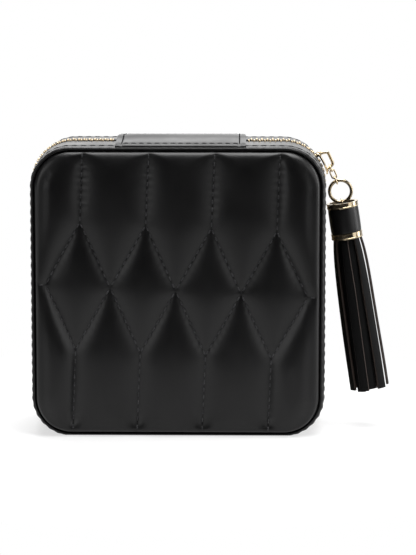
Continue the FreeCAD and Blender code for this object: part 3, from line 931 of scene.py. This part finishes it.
    def add_stitches(self, piece, mm, skew):
        """Sews thread along every seam, lying in the crease."""
        edge_gap, raised = 0.8, 0.2
        points = coords(piece) / MM
        middle = mm["side"] / 2
        places = []
        for start, end in np.array(quilt_seams(mm)):
            run = np.hypot(*(end - start))
            sewn = run - edge_gap
            count = max(1, round(sewn / mm["quilt_stitch"]))
            for index in range(count):
                ends = []
                for part in (0.08, 0.92):
                    share = (index + part) * sewn / count / run
                    x, z = on_panel(*(start + (end - start) * share), mm, skew)
                    near = np.argmin((points[:, 0] - x) ** 2 + (points[:, 2] - middle - z) ** 2)
                    ends.append((x, points[near, 1], z + middle))
                first, last = np.array(ends)
                places.append(frame_at((first + last) / 2 - (0, raised, 0), last - first, (0, -1, 0)))
        # The quilting stitches use the lightened thread, whose lighter tone is painted highlight.
        sewing("quilting_stitches", places, mm["quilt_stitch"] * QUILT_THREAD_SHARE, "lid", "quilt_thread")


class CASE_OT_rear_panel(bpy.types.Operator):
    """Plain leather panel of the base"""

    bl_idname = "case.rear_panel"
    bl_label = "Rear panel"

    def execute(self, context):
        mm = sizes_mm()
        outline = rim_square(mm, inset=1.5)
        face, sewn = mm["half_depth"], -4.2
        section = ((-1.2, 0.0), (-0.75, 0.0), (-0.3, -0.12), (-0.06, -0.45), (0.0, -0.9), (0.0, sewn + 0.8),
                   (-0.22, sewn + 0.25), (-0.28, sewn), (-0.22, sewn - 0.25), (0.0, sewn - 0.8), (0.0, -9.0))
        course, outward = round_square(360, *outline)
        piece = swept("rear_panel", course, outward, [(face + depth, out) for depth, out in section])
        sew_up(piece)
        close_up(piece, bpy.ops.mesh.edge_face_add)
        dressed(piece, 40.0, "case_leather", "base", "black_leather", "rear_panel_leather")
        places = []
        count = round(round_length(*outline) / mm["rim_stitch"])
        for point, out in zip(*round_square(count, *outline)):
            x, z = point + out * sewn
            places.append(frame_at((x, face - 0.2, z), (-out[1], 0, out[0]), (0, 1, 0)))
        sewing("rear_panel_stitches", places, mm["rim_stitch"] * THREAD_SHARE, "base")
        return {"FINISHED"}


def track_runs(mm):
    """The radius of the zip's corners, and its runs from under the strip's right end round to its left end."""
    out, floor_gap = 0.75, 1.3
    left_end, right_end = -25.5, 28.5
    radius = mm["corner"] + out
    half, top = mm["side"] / 2 + out, mm["side"] + out
    corner_x = mm["side"] / 2 - mm["corner"]
    corner_z = mm["side"] - mm["corner"]
    low_z = floor_gap + radius
    quarter = radius * math.pi / 2
    side_run = corner_z - low_z
    return radius, (
        (corner_x - right_end, (right_end, top), (1, 0)),
        (quarter, (corner_x, corner_z), 90.0),
        (side_run, (half, corner_z), (0, -1)),
        (quarter, (corner_x, low_z), 0.0),
        (2 * corner_x, (corner_x, floor_gap), (-1, 0)),
        (quarter, (-corner_x, low_z), -90.0),
        (side_run, (-half, low_z), (0, 1)),
        (quarter, (-corner_x, corner_z), -180.0),
        (left_end + corner_x, (-corner_x, top), (1, 0)),
    )


def track_place(distance, mm):
    """The point at this distance along the zip, and the angle of its outward side above +X."""
    radius, runs = track_runs(mm)
    for run, start, course in runs:
        if distance <= run:
            break
        distance -= run
    if isinstance(course, float):
        angle = math.radians(course) - distance / radius
        return (start[0] + radius * math.cos(angle), start[1] + radius * math.sin(angle)), angle
    point = (start[0] + course[0] * distance, start[1] + course[1] * distance)
    return point, math.atan2(course[0], -course[1])


# A tooth's size outward, towards its tape and along the zip.
TOOTH = (2.3, 3.6, 0.85)


def tooth_pattern():
    """One zip tooth: legs that grip the tape and a narrower head. X is outward, Y to its tape."""
    start_clean()
    bpy.ops.mesh.primitive_cube_add(size=1.0)
    piece = bpy.context.object
    piece.scale = tuple(length * MM for length in TOOTH)
    bpy.ops.object.transform_apply(location=False, rotation=False, scale=True)
    edit(piece)
    bpy.ops.mesh.subdivide(number_cuts=1)
    edit_done()
    points = coords(piece) / MM
    head = points[:, 1] < -0.1
    waist = np.abs(points[:, 1]) < 0.1
    points[head, 0] *= 0.82
    points[head, 2] *= 0.8
    points[waist, 1] -= 0.35
    set_coords(piece, points * MM)
    modifier(piece, "BEVEL", width=0.2 * MM, segments=1, limit_method="ANGLE", angle_limit=math.radians(40))
    smooth(piece, 50.0)
    return piece


def tooth_places(side, mm):
    """Matrices for one row's teeth: parted up to the end of the slider's travel and meshed beyond it."""
    pitch, end_stop = mm["tooth_pitch"], 1.8
    behind_slider, under_slider, meshed = 0.6, 0.42, -0.9
    radius, runs = track_runs(mm)
    slider_at = runs[0][0] + radius * math.radians(65.0)
    travel_end = slider_at + radius * math.radians(27.0)
    first = end_stop + pitch + (pitch / 2 if side > 0 else 0.0)
    last = sum(run for run, _, _ in runs) - end_stop - pitch
    places = []
    for index in range(int((last - first) / pitch) + 1):
        distance = first + index * pitch
        if distance < slider_at:
            near = behind_slider
        elif distance < travel_end:
            near = under_slider
        else:
            near = meshed
        (x, z), angle = track_place(distance, mm)
        outward = Vector((math.cos(angle), 0, math.sin(angle)))
        tape = Vector((0, side, 0))
        turn = Matrix((outward, tape, outward.cross(tape))).transposed().to_4x4()
        places.append(Matrix.Translation(Vector((x, side * (near + TOOTH[1] / 2), z)) * MM) @ turn)
    return places


class CASE_OT_zip(bpy.types.Operator):
    """Zip tapes, rows of teeth and end stop"""

    bl_idname = "case.zip"
    bl_label = "Zip"

    def execute(self, context):
        mm = sizes_mm()
        for side, body, node in ((1, "base", "rear_zip_teeth"), (-1, "lid", "front_zip_teeth")):
            row = copies(body + "_zip_teeth", tooth_pattern(), tooth_places(side, mm))
            clad(row, "zip_gold")
            fitted(row, body, "gold_metal", node)
        for node in ("rear_zip_tape", "front_zip_tape"):
            clad(NODES[node], "zip_tape")
        clad(NODES["zip_end_stop"], "pale_gold")
        return {"FINISHED"}


# Half of the hinge strip's section: distance from the zip's middle, and height of the underside above the rim.
STRIP_RISE = ((25.6, 0.22), (24.4, 0.5), (23.0, 0.74), (18.0, 1.0), (12.0, 1.28), (7.5, 1.62), (5.0, 1.98),
              (3.6, 2.24), (2.4, 2.4), (1.2, 2.48), (0.0, 2.5))
STRIP_REACH = STRIP_RISE[0][0]


def strip_profile(mm):
    """The hinge strip's underside as (y, z) points from back to front, with a soft rise over the zip."""
    back = np.array(STRIP_RISE) + np.array([0.0, mm["side"]])
    front = back[-2::-1] * np.array([-1, 1])
    return np.vstack([back, front])


def shell(name, upper, lower):
    """A closed plate between two sheets of points, each an array of rows in millimetres."""
    rows, columns = upper.shape[0] - 1, upper.shape[1] - 1
    top = grid(name, columns, rows, upper)
    under = grid(name + "_under", columns, rows, lower)
    edit(under)
    bpy.ops.mesh.flip_normals()
    edit_done()
    piece = joined(name, [top, under])
    close_up(piece, bpy.ops.mesh.bridge_edge_loops)
    return piece


class CASE_OT_hinge_strip(bpy.types.Operator):
    """Leather strip sewn over the zip's ends; on the real case it bends as the lid opens"""

    bl_idname = "case.hinge_strip"
    bl_label = "Hinge strip"

    def execute(self, context):
        mm = sizes_mm()
        low, high = node_box("hinge_strip")
        left, right = low[0], high[0]
        line = strip_profile(mm)
        sewn, thick = mm["strip_inset"], 1.35
        points_per_step, columns = 8, 84
        corners = np.arange(len(line))
        dense = np.linspace(0, corners[-1], points_per_step * corners[-1] + 1)
        x, y = np.meshgrid(np.linspace(left, right, columns + 1), np.interp(dense, corners, line[:, 0]))
        under = np.broadcast_to(np.interp(dense, corners, line[:, 1])[:, None], x.shape)
        to_side = np.minimum(x - left, right - x)
        to_end = STRIP_REACH - np.abs(y)
        inner = np.minimum(to_side, to_end)
        seam = np.minimum(np.abs(to_side - sewn), np.abs(to_end - sewn))
        dent = 0.34 * np.exp(-(seam / 0.7) ** 2)
        round_off = 0.5 * (1 - np.clip(inner / 1.1, 0, 1)) ** 2
        crown = 0.16 * np.clip((inner - sewn) / 6.0, 0, 1)
        upper = under + thick - dent - round_off + crown
        piece = shell("hinge_strip_leather", np.stack([x, y, upper], axis=-1), np.stack([x, y, under], axis=-1))
        smooth(piece, 40.0)
        clad(piece, "case_leather")
        self.bend(piece)
        fitted(piece, None, "black_leather", "hinge_strip")
        self.bend(self.stitches(line, left + sewn, right - sewn, STRIP_REACH - sewn, thick))
        return {"FINISHED"}

    def bend(self, piece):
        """Bakes a piece's placement into its mesh."""
        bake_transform(piece)

    def stitches(self, line, left, right, end, thick):
        """Sewing round the strip, on its upper side."""
        pitch = 3.6
        rising = line[::-1]
        places = []
        height = np.interp(end, rising[:, 0], rising[:, 1]) + thick
        for sign, sunk in ((1, 0.3), (-1, 0.12)):
            for x in np.arange(left + pitch / 2, right, pitch):
                places.append(frame_at((x, sign * end, height - sunk), (1, 0, 0), (0, 0, 1)))
        count = round(2 * end / pitch)
        for x in (left, right):
            for index in range(count):
                y = -end + 2 * end * (index + 0.5) / count
                here, ahead = np.interp((y, y + 0.5), rising[:, 0], rising[:, 1])
                places.append(frame_at((x, y, here + thick - 0.14), (0, 0.5, ahead - here), (0, 0, 1)))
        return sewing("strip_stitches", places, pitch * THREAD_SHARE, None)


def tube_along(name, points, section, closed=False):
    """A tube whose cross-section, pairs of (side, up) millimetres, is carried along points in one plane.

    The plane is y = constant: side is along Y and up lies in the plane, to the left of the course.
    """
    line = np.array(points, float)
    if closed:
        ahead = np.roll(line, -1, axis=0) - np.roll(line, 1, axis=0)
    else:
        ahead = np.gradient(line, axis=0)
    ahead /= np.linalg.norm(ahead, axis=1)[:, None]
    rows = []
    for index, (point, (ahead_x, _, ahead_z)) in enumerate(zip(line, ahead)):
        up = np.array([-ahead_z, 0, ahead_x])
        ring = [point + np.array([0, s, 0]) + up * t for s, t in section(index / (len(line) - 1))]
        rows.append(ring + ring[:1])
    if closed:
        rows.append(rows[0])
    return grid(name, len(rows[0]) - 1, len(rows) - 1, np.array(rows))


def round_section(radius_side, radius_up, sides=14):
    turns = np.linspace(0, 2 * math.pi, sides, endpoint=False)
    return [(radius_side * math.cos(t), radius_up * math.sin(t)) for t in turns]


def cap_ends(piece):
    """Closes the open ends of a tube."""
    edit(piece)
    bpy.ops.mesh.remove_doubles(threshold=0.005 * MM)
    edit_done()
    close_up(piece, bpy.ops.mesh.edge_face_add)


def rounded_path(corners, radius, steps=8):
    """A line through corner points with its corners rounded."""
    line = [np.array(corners[0], float)]
    for before, here, after in zip(corners, corners[1:], corners[2:]):
        here = np.array(here, float)
        to_before = np.array(before, float) - here
        to_after = np.array(after, float) - here
        cut = min(radius, 0.45 * np.linalg.norm(to_before), 0.45 * np.linalg.norm(to_after))
        first = here + to_before / np.linalg.norm(to_before) * cut
        last = here + to_after / np.linalg.norm(to_after) * cut
        for step in range(steps + 1):
            t = step / steps
            line.append((1 - t) ** 2 * first + 2 * t * (1 - t) * here + t * t * last)
    line.append(np.array(corners[-1], float))
    return line


# How far above the X axis the parked slider stands on the zip's corner.
SLIDER_ANGLE = math.radians(25.0)


def on_slider(along, out, y=0.0):
    """A point of the parked slider: along its length, and out from the middle of the zip's turn."""
    centre = joint_place("slider_travel")
    x = centre[0] + out * math.cos(SLIDER_ANGLE) - along * math.sin(SLIDER_ANGLE)
    z = centre[2] + out * math.sin(SLIDER_ANGLE) + along * math.cos(SLIDER_ANGLE)
    return (x, y, z)


def slider_plate(name, inner, thickness, width, tail):
    """A bent plate with a rounded head and a narrower tail."""
    half_length = 5.7
    stations = np.linspace(-1, 1, 27)
    across = np.linspace(-1, 1, 15)
    sheets = np.zeros((2, len(stations), len(across), 3))
    for row, t in enumerate(stations):
        angle = t * half_length / (inner + thickness / 2)
        base = tail / 2 + (width - tail) / 2 * min(1.0, (t + 1) / 0.9)
        ends = math.sqrt(max(0.0, 1 - max(0.0, (abs(t) - 0.72) / 0.28) ** 2))
        half_width = base * (0.55 + 0.45 * ends)
        tail_lift = 0.35 * max(0.0, -t - 0.5)
        for column, s in enumerate(across):
            fall = 0.32 * abs(s) ** 6 + 0.35 * max(0.0, (abs(t) - 0.86) / 0.14) ** 2
            for skin, raised in enumerate((max(thickness - fall, 0.12 + tail_lift), tail_lift)):
                out = inner + raised
                sheets[skin, row, column] = on_slider(out * math.sin(angle), out * math.cos(angle),
                                                      s * half_width)
    return shell(name, *sheets)


class CASE_OT_slider(bpy.types.Operator):
    """Zip slider: bent plates, the wedge between them and the bail"""

    bl_idname = "case.slider"
    bl_label = "Slider"

    def execute(self, context):
        upper_inner, lower_inner = 20.35, 16.35
        plates = (("slider_upper", upper_inner, 1.0, 8.4, 6.4, "slider_upper_plate"),
                  ("slider_lower", lower_inner, 0.8, 7.0, 6.2, "slider_lower_plate"))
        for name, *shape, node in plates:
            dressed(slider_plate(name, *shape), 40.0, "pale_gold", "slider", "gold_metal", node)
        clad(NODES["slider_post"], "pale_gold")
        seat = upper_inner + 0.55
        bends = ((4.75, -0.25), (4.35, 1.6), (3.7, 3.75), (-2.4, 3.75), (-3.3, 1.7), (-3.85, -0.45))
        path = rounded_path([on_slider(along, seat + out) for along, out in bends], 1.0)
        bail = tube_along("bail", path, lambda share: round_section(1.05 - 0.35 * share, 0.74 - 0.1 * share))
        cap_ends(bail)
        foot = self.foot_boss(4.7, seat + 0.1, 1.25, "head_boss")
        tail = self.foot_boss(-3.85, seat - 0.05, 1.0, "tail_boss")
        piece = joined("slider_bail_loop", [bail, foot, tail])
        dressed(piece, 40.0, "deep_gold", "slider", "gold_metal", "slider_bail")
        return {"FINISHED"}

    def foot_boss(self, along, out, radius, name):
        """The rounded knob that a foot of the bail is cast into."""
        dome = [(0.0, 0.75), (0.3, 0.73), (0.6, 0.62), (0.85, 0.38), (1.0, 0.0), (1.0, -0.45), (0.0, -0.45)]
        boss = lathe(name, [(radius * r, radius * h) for r, h in dome], 16, closed=False)
        place = Vector(on_slider(along, out))
        outward = Vector((math.cos(SLIDER_ANGLE), 0, math.sin(SLIDER_ANGLE)))
        turn = outward.to_track_quat("Z", "Y").to_matrix().to_4x4()
        return moved(boss, Matrix.Translation(place) @ turn)


class CASE_OT_chain(bpy.types.Operator):
    """Links and ring between the slider and the tassel"""

    bl_idname = "case.chain"
    bl_label = "Chain"

    def execute(self, context):
        for node in ("link_a", "link_b", "link_c"):
            clad(NODES[node], "pale_gold")
        x, y, z = joint_place("ring_swing")
        radius, half_wire_side, half_wire_up = 5.125, 0.78, 0.775
        turns = np.linspace(0, 2 * math.pi, 72, endpoint=False)
        line = [(x + radius * math.cos(t), y, z + radius * math.sin(t)) for t in turns]
        wire = round_section(half_wire_side, half_wire_up, 18)
        ring = tube_along("pull_ring_wire", line, lambda share: wire, closed=True)
        sew_up(ring)
        dressed(ring, 80.0, "deep_gold", "ring", "gold_metal", "pull_ring")
        return {"FINISHED"}


TASSEL_LEAN = math.radians(8.8)
# Height of the cap's low end, from the joint that the tassel swings about.
CAP_LOW = -17.2


def hung(piece):
    """Takes a tassel piece from upright under the origin to where it hangs."""
    turn = Matrix.Rotation(-TASSEL_LEAN, 4, "Y")
    return moved(piece, Matrix.Translation(Vector(joint_place("tassel_swing"))) @ turn)


class CASE_OT_tassel(bpy.types.Operator):
    """Tassel: cap with its two bands and leather sleeve, and the fringe of cut strips"""

    bl_idname = "case.tassel"
    bl_label = "Tassel"

    def execute(self, context):
        self.band("cap_upper_band", 0.0, -2.5, "tassel_upper_band")
        self.band("cap_lower_band", -14.3, CAP_LOW, "tassel_lower_band")
        self.sleeve()
        clad(NODES["tassel_loop"], "pale_gold")
        clad(NODES["tassel_core"], "cap_plug")
        self.fringe(context)
        return {"FINISHED"}

    def band(self, name, top, low, node):
        """A metal band with a bead along both edges."""
        edge = ((6.02, 0.1), (6.25, 0.0), (7.2, 0.0), (7.36, 0.06), (7.42, 0.22), (7.42, 0.55), (7.3, 0.68))
        line = [(radius, top - depth) for radius, depth in edge]
        line += [(radius, low + depth) for radius, depth in reversed(edge)]
        piece = hung(lathe(name, line, 56))
        dressed(piece, 40.0, "deep_gold", "tassel", "gold_metal", node)

    def sleeve(self):
        """The leather round the cap, with the line where its ends meet."""
        line = [(6.02, -2.55), (7.02, -2.55), (7.1, -2.9), (7.16, -3.7), (7.2, -6.0), (7.21, -8.4),
                (7.2, -10.8), (7.16, -13.1), (7.1, -13.9), (7.02, -14.25), (6.02, -14.25)]
        piece = lathe("cap_sleeve", line, 64)
        points = coords(piece)
        turn = np.arctan2(points[:, 1], points[:, 0])
        lap_at, lap_width, lap_depth = 1.9, 0.05, 0.03
        lap = np.exp(-((turn - lap_at) / lap_width) ** 2)
        points[:, :2] *= (1 - lap_depth * lap)[:, None]
        set_coords(piece, points)
        dressed(hung(piece), 40.0, "case_leather", "tassel", "black_leather", "tassel_sleeve")

    def fringe(self, context):
        """Two rows of strips round the cap and a few inside, each cut a little differently."""
        mm = sizes_mm()
        dice = np.random.default_rng(RNG_SEED)
        count, inner_count = context.scene.case_sizes.fringe_strips, 5
        strips = []
        for index in range(count):
            angle = 2 * math.pi * (index + 0.2 * dice.uniform(-1, 1)) / count
            strips.append(self.strip(mm, dice, angle, index % 2, 3.0, 4.5))
        for index in range(inner_count):
            angle = 2 * math.pi * (index + 0.5) / inner_count
            strips.append(self.strip(mm, dice, angle, 2, 2.4, 3.6))
        piece = hung(joined("fringe", strips))
        smooth(piece, 30.0)
        fitted(piece, "tassel", "fringe_leather", "tassel_fringe")

    def strip(self, mm, dice, angle, row, top_width, low_width):
        """One flat strip with its own slight sway, twist and length, brown along its cut edges."""
        drop = mm["fringe_length"] - dice.uniform(0, 1.2)
        start = CAP_LOW + 0.6
        stations = 34
        top_radius, bulge, flare = ((6.0, 1.75, 0.95), (4.5, 1.45, 0.9), (2.6, 1.3, 1.0))[row]
        section = ((-1, 0), (-0.9, 0.5), (0.0, 0.62), (0.9, 0.5), (1, 0),
                   (0.9, -0.5), (0.0, -0.42), (-0.9, -0.5))
        sway = dice.uniform(-0.5, 0.5)
        twist = dice.uniform(-0.14, 0.14)
        wave = dice.uniform(0, 2 * math.pi)
        rows = []
        for t in np.arange(stations + 1) / stations:
            radius = top_radius + bulge * (1 - math.exp(-t * 9)) + flare * t
            radius += 0.16 * math.sin(2.2 * math.pi * t + wave) * t
            half = (top_width + (low_width - top_width) * min(1, t * 3)) / 2
            cos, sin = math.cos(twist * t), math.sin(twist * t)
            ring = []
            for share, out in section:
                across = share * half
                x = radius + out * cos - across * sin - across * across * 0.045
                y = sway * t + across * cos + out * sin
                ring.append((x * math.cos(angle) - y * math.sin(angle),
                             x * math.sin(angle) + y * math.cos(angle), start - drop * t))
            rows.append(ring + ring[:1])
        piece = grid("strip", len(section), stations, np.array(rows))
        cap_ends(piece)
        piece.data.materials.append(finish("fringe_leather"))
        piece.data.materials.append(finish("raw_edge"))
        self.colour_edges(piece, angle)
        return piece

    def colour_edges(self, piece, angle):
        """Gives the cut edges and the low end the raw finish."""
        across = Vector((-math.sin(angle), math.cos(angle), 0))
        lowest = coords(piece)[:, 2].min()
        for face in piece.data.polygons:
            sideways = abs(face.normal.dot(across)) > 0.72
            low_end = face.normal.z < -0.7 and face.center.z < lowest + MM
            face.material_index = 1 if sideways or low_end else 0


class CASE_OT_inside(bpy.types.Operator):
    """Linings, ring rolls, dividers, mirror and the boards under the leather"""

    bl_idname = "case.inside"
    bl_label = "Inside"

    def execute(self, context):
        for node in ("rear_lining", "front_lining"):
            clad(NODES[node], "suede")
        for node in ("rear_wall_board", "front_wall_board", "rear_panel_board", "front_panel_board"):
            clad(NODES[node], "fibre_board")
        clad(NODES["front_foam_pad"], "foam")
        clad(NODES["lid_mirror"], "mirror_silver")
        self.bindings()
        self.mirror_border()
        for node in ("long_divider", "left_divider", "right_divider"):
            self.divider(node)
        self.ring_rolls()
        return {"FINISHED"}

    def bindings(self):
        """A suede edge over each half's lining and board."""
        mm = sizes_mm()
        course, outward = round_square(420, *rim_square(mm, inset=3.05))
        half_width, edge, height = 1.02, 7.15, 0.75
        turns = np.linspace(0, math.pi, 11)
        section = [(9.5, -half_width)]
        section += [(edge - height * math.sin(t), -half_width * math.cos(t)) for t in turns]
        section += [(7.9, half_width)]
        for sign, body in ((1, "base"), (-1, "lid")):
            piece = swept(body + "_edge_binding", course, outward, [(sign * y, out) for y, out in section])
            sew_up(piece)
            modifier(piece, "SOLIDIFY", thickness=0.12 * MM, offset=1.0)
            dressed(piece, 60.0, "suede", body, "suede_lining")

    def mirror_border(self):
        """A soft suede border whose lip overlaps the glass."""
        low, high = node_box("mirror_frame")
        glass_low, glass_high = node_box("lid_mirror")
        half = (glass_high[0] - glass_low[0]) / 2
        middle = sizes_mm()["side"] / 2
        course, outward = round_square(320, half, middle - half, middle + half, 6.0)
        back, face = low[1], high[1]
        wide = high[0] - half
        section = [(back + 0.02, wide), (back + 0.8, wide), (face - 0.7, wide - 0.12), (face - 0.2, wide - 0.6),
                   (face, wide - 1.5), (face + 0.12, wide * 0.5), (face, 0.5), (face - 0.12, -0.2),
                   (face - 0.4, -0.55), (glass_high[1] + 0.02, -0.6)]
        piece = swept("mirror_border", course, outward, section)
        sew_up(piece)
        modifier(piece, "SOLIDIFY", thickness=0.1 * MM, offset=-1.0)
        dressed(piece, 60.0, "suede", "lid", "suede_lining", "mirror_frame")

    def divider(self, node):
        """A suede-covered partition with a soft upper edge."""
        low, high = node_box(node)
        start_clean()
        bpy.ops.mesh.primitive_cube_add(size=1.0)
        piece = named(bpy.context.object, node + "_cover")
        piece.scale = tuple((high - low) * MM)
        piece.location = tuple((high + low) / 2 * MM)
        bpy.ops.object.transform_apply(location=True, rotation=False, scale=True)
        modifier(piece, "BEVEL", width=0.6 * MM, segments=4, limit_method="ANGLE")
        dressed(piece, 40.0, "suede", "base", "suede_lining", node)

    def ring_rolls(self):
        """Padded rolls side by side, swollen between their sewn ends."""
        for number in range(1, 6):
            node = "ring_roll_%d" % number
            piece = self.roll("padded_roll_%d" % number, *node_box(node))
            dressed(piece, 50.0, "suede", "base", "suede_lining", node)

    def roll(self, name, low, high):
        """One roll: round on top, flat below, drawn in at its ends and a little uneven along its length."""
        stations, around = 48, 32
        radius = (high[2] - low[2]) / 2
        middle = (high[2] + low[2]) / 2
        crest, floor = low[1], high[1]
        long = high[0] - low[0]
        angles = math.pi * np.linspace(-0.5, 0.5, around + 1)
        rows = []
        for t in np.arange(stations + 1) / stations:
            x = low[0] + long * t
            end = min(t, 1 - t) * long
            drawn = 1 - 0.34 * (1 - min(1.0, end / 2.4)) ** 2
            swell = drawn * (1.0 - 0.025 * math.cos(6 * math.pi * t))
            ring = []
            for angle in angles:
                y = floor - (floor - crest - radius) * swell - radius * math.cos(angle) * swell
                ring.append((x, y, middle + radius * math.sin(angle) * swell))
            ring = [(x, floor, ring[0][2])] + ring + [(x, floor, ring[-1][2])]
            rows.append(ring + ring[:1])
        piece = grid(name, len(rows[0]) - 1, stations, np.array(rows))
        cap_ends(piece)
        return piece


CASE_MIDDLE = (0.0, 0.0, 0.07)
# Each lamp's name, place, target, width, height and power.
LAMPS = (("top_softbox", (0.1, 0.08, 1.05), CASE_MIDDLE, 1.2, 0.6, 24.0),
         ("right_softbox", (0.85, -0.5, 0.40), CASE_MIDDLE, 0.5, 0.8, 3.0),
         ("left_softbox", (-0.85, -0.5, 0.40), CASE_MIDDLE, 0.5, 0.8, 3.0),
         ("right_strip", (0.8, 0.08, 0.3), CASE_MIDDLE, 0.3, 0.6, 3.5),
         ("back_softbox", (0.0, 1.2, 0.68), (0.0, 0.0, 0.68), 2.4, 0.96, 14.0))
SKY_FILL = 0.025
FOCAL_PIXELS = 2505.0
CAMERA_PLACE = (0.0305, -1.1665, 0.2510)
CAMERA_FALL = math.radians(8.806)
CAMERA_TURN = math.radians(0.823)


class CASE_OT_stage(bpy.types.Operator):
    """Pale floor, white surroundings, soft light and the camera"""

    bl_idname = "case.stage"
    bl_label = "Stage"

    def execute(self, context):
        self.floor(context)
        self.sky(context)
        for lamp in LAMPS:
            self.lamp(*lamp)
        self.camera(context)
        return {"FINISHED"}

    def floor(self, context):
        """A flat floor that takes the case's shadow and turns white further out."""
        near, far, wide, sunk = -0.28, 4.0, 6.0, 0.0002
        start_clean()
        bpy.ops.mesh.primitive_plane_add(size=1.0)
        piece = named(bpy.context.object, "studio_floor")
        spread = Matrix.Diagonal((wide, far - near, 1, 1))
        piece.data.transform(Matrix.Translation((0, (near + far) / 2, -sunk)) @ spread)
        made = Finish("studio_white")
        made.set(Base_Color=context.scene.case_colours.floor, Roughness=0.9, Specular_IOR_Level=0.1)
        white = made.node("ShaderNodeEmission", None, {"Color": (1, 1, 1, 1), "Strength": 1.0})
        away = made.node("ShaderNodeVectorMath", {"operation": "LENGTH"}, {0: made.place()}, output="Value")
        share = made.node("ShaderNodeMapRange", None, {"Value": away, "From Min": 0.085, "From Max": 0.2,
                                                       "To Min": 0.63, "To Max": 1.0})
        share = share * made.ray("Is Camera Ray", "Is Glossy Ray")
        pale = Value(made, made.shader.outputs[0])
        blend = made.node("ShaderNodeMixShader", None, {0: share, 1: pale, 2: white})
        made.feed(made.tree.nodes["Material Output"].inputs["Surface"], blend)
        piece.data.materials.append(made.material)

    def sky(self, context):
        """White to look at, and faint as a light."""
        world = bpy.data.worlds.new("studio")
        context.scene.world = world
        world.use_nodes = True
        made = Nodes(world.node_tree)
        seen = made.ray("Is Camera Ray", "Is Transmission Ray")
        strength = made.node("ShaderNodeMapRange", None, {"Value": seen, "To Min": SKY_FILL, "To Max": 1.0})
        back = world.node_tree.nodes["Background"]
        made.feed(back.inputs["Color"], (1, 1, 1, 1))
        made.feed(back.inputs["Strength"], strength)

    def lamp(self, name, place, target, width, height, power):
        data = bpy.data.lights.new(name, "AREA")
        data.shape = "RECTANGLE"
        data.size = width
        data.size_y = height
        data.energy = power
        lamp = bpy.data.objects.new(name, data)
        lamp.location = place
        lamp.rotation_euler = (Vector(target) - Vector(place)).to_track_quat("-Z", "Y").to_euler()
        bpy.context.scene.collection.objects.link(lamp)

    def camera(self, context):
        data = bpy.data.cameras.new("camera")
        data.sensor_fit = "AUTO"
        data.sensor_width = 36.0
        data.lens = FOCAL_PIXELS / IMAGE_HEIGHT * data.sensor_width
        data.clip_end = 20.0
        camera = bpy.data.objects.new("camera", data)
        camera.location = CAMERA_PLACE
        camera.rotation_euler = (math.pi / 2 - CAMERA_FALL, 0, CAMERA_TURN)
        context.scene.collection.objects.link(camera)
        context.scene.camera = camera
        context.scene.view_settings.view_transform = "Standard"


class CASE_PT_pieces(bpy.types.Panel):
    """Lists the steps that build the case"""

    bl_idname = "CASE_PT_pieces"
    bl_label = "Jewellery case"
    bl_space_type = "VIEW_3D"
    bl_region_type = "UI"
    bl_category = "Case"

    def draw(self, context):
        column = self.layout.column()
        for operator in OPERATORS:
            column.operator(operator.bl_idname)
        for group in (context.scene.case_sizes, context.scene.case_colours):
            for name in group.__annotations__:
                column.prop(group, name)


OPERATORS = (CASE_OT_stage, CASE_OT_walls, CASE_OT_quilted_panel, CASE_OT_rear_panel, CASE_OT_zip,
             CASE_OT_hinge_strip, CASE_OT_slider, CASE_OT_chain, CASE_OT_tassel, CASE_OT_inside)
CLASSES = (CaseSizes, CaseColours, *OPERATORS, CASE_PT_pieces)


def register():
    for kind in CLASSES:
        bpy.utils.register_class(kind)
    bpy.types.Scene.case_sizes = PointerProperty(type=CaseSizes)
    bpy.types.Scene.case_colours = PointerProperty(type=CaseColours)


def unregister():
    del bpy.types.Scene.case_sizes
    del bpy.types.Scene.case_colours
    for kind in reversed(CLASSES):
        bpy.utils.unregister_class(kind)


def main():
    register()
    for operator in OPERATORS:
        group, step = operator.bl_idname.split(".")
        getattr(getattr(bpy.ops, group), step)()


if __name__ == "__main__":
    main()
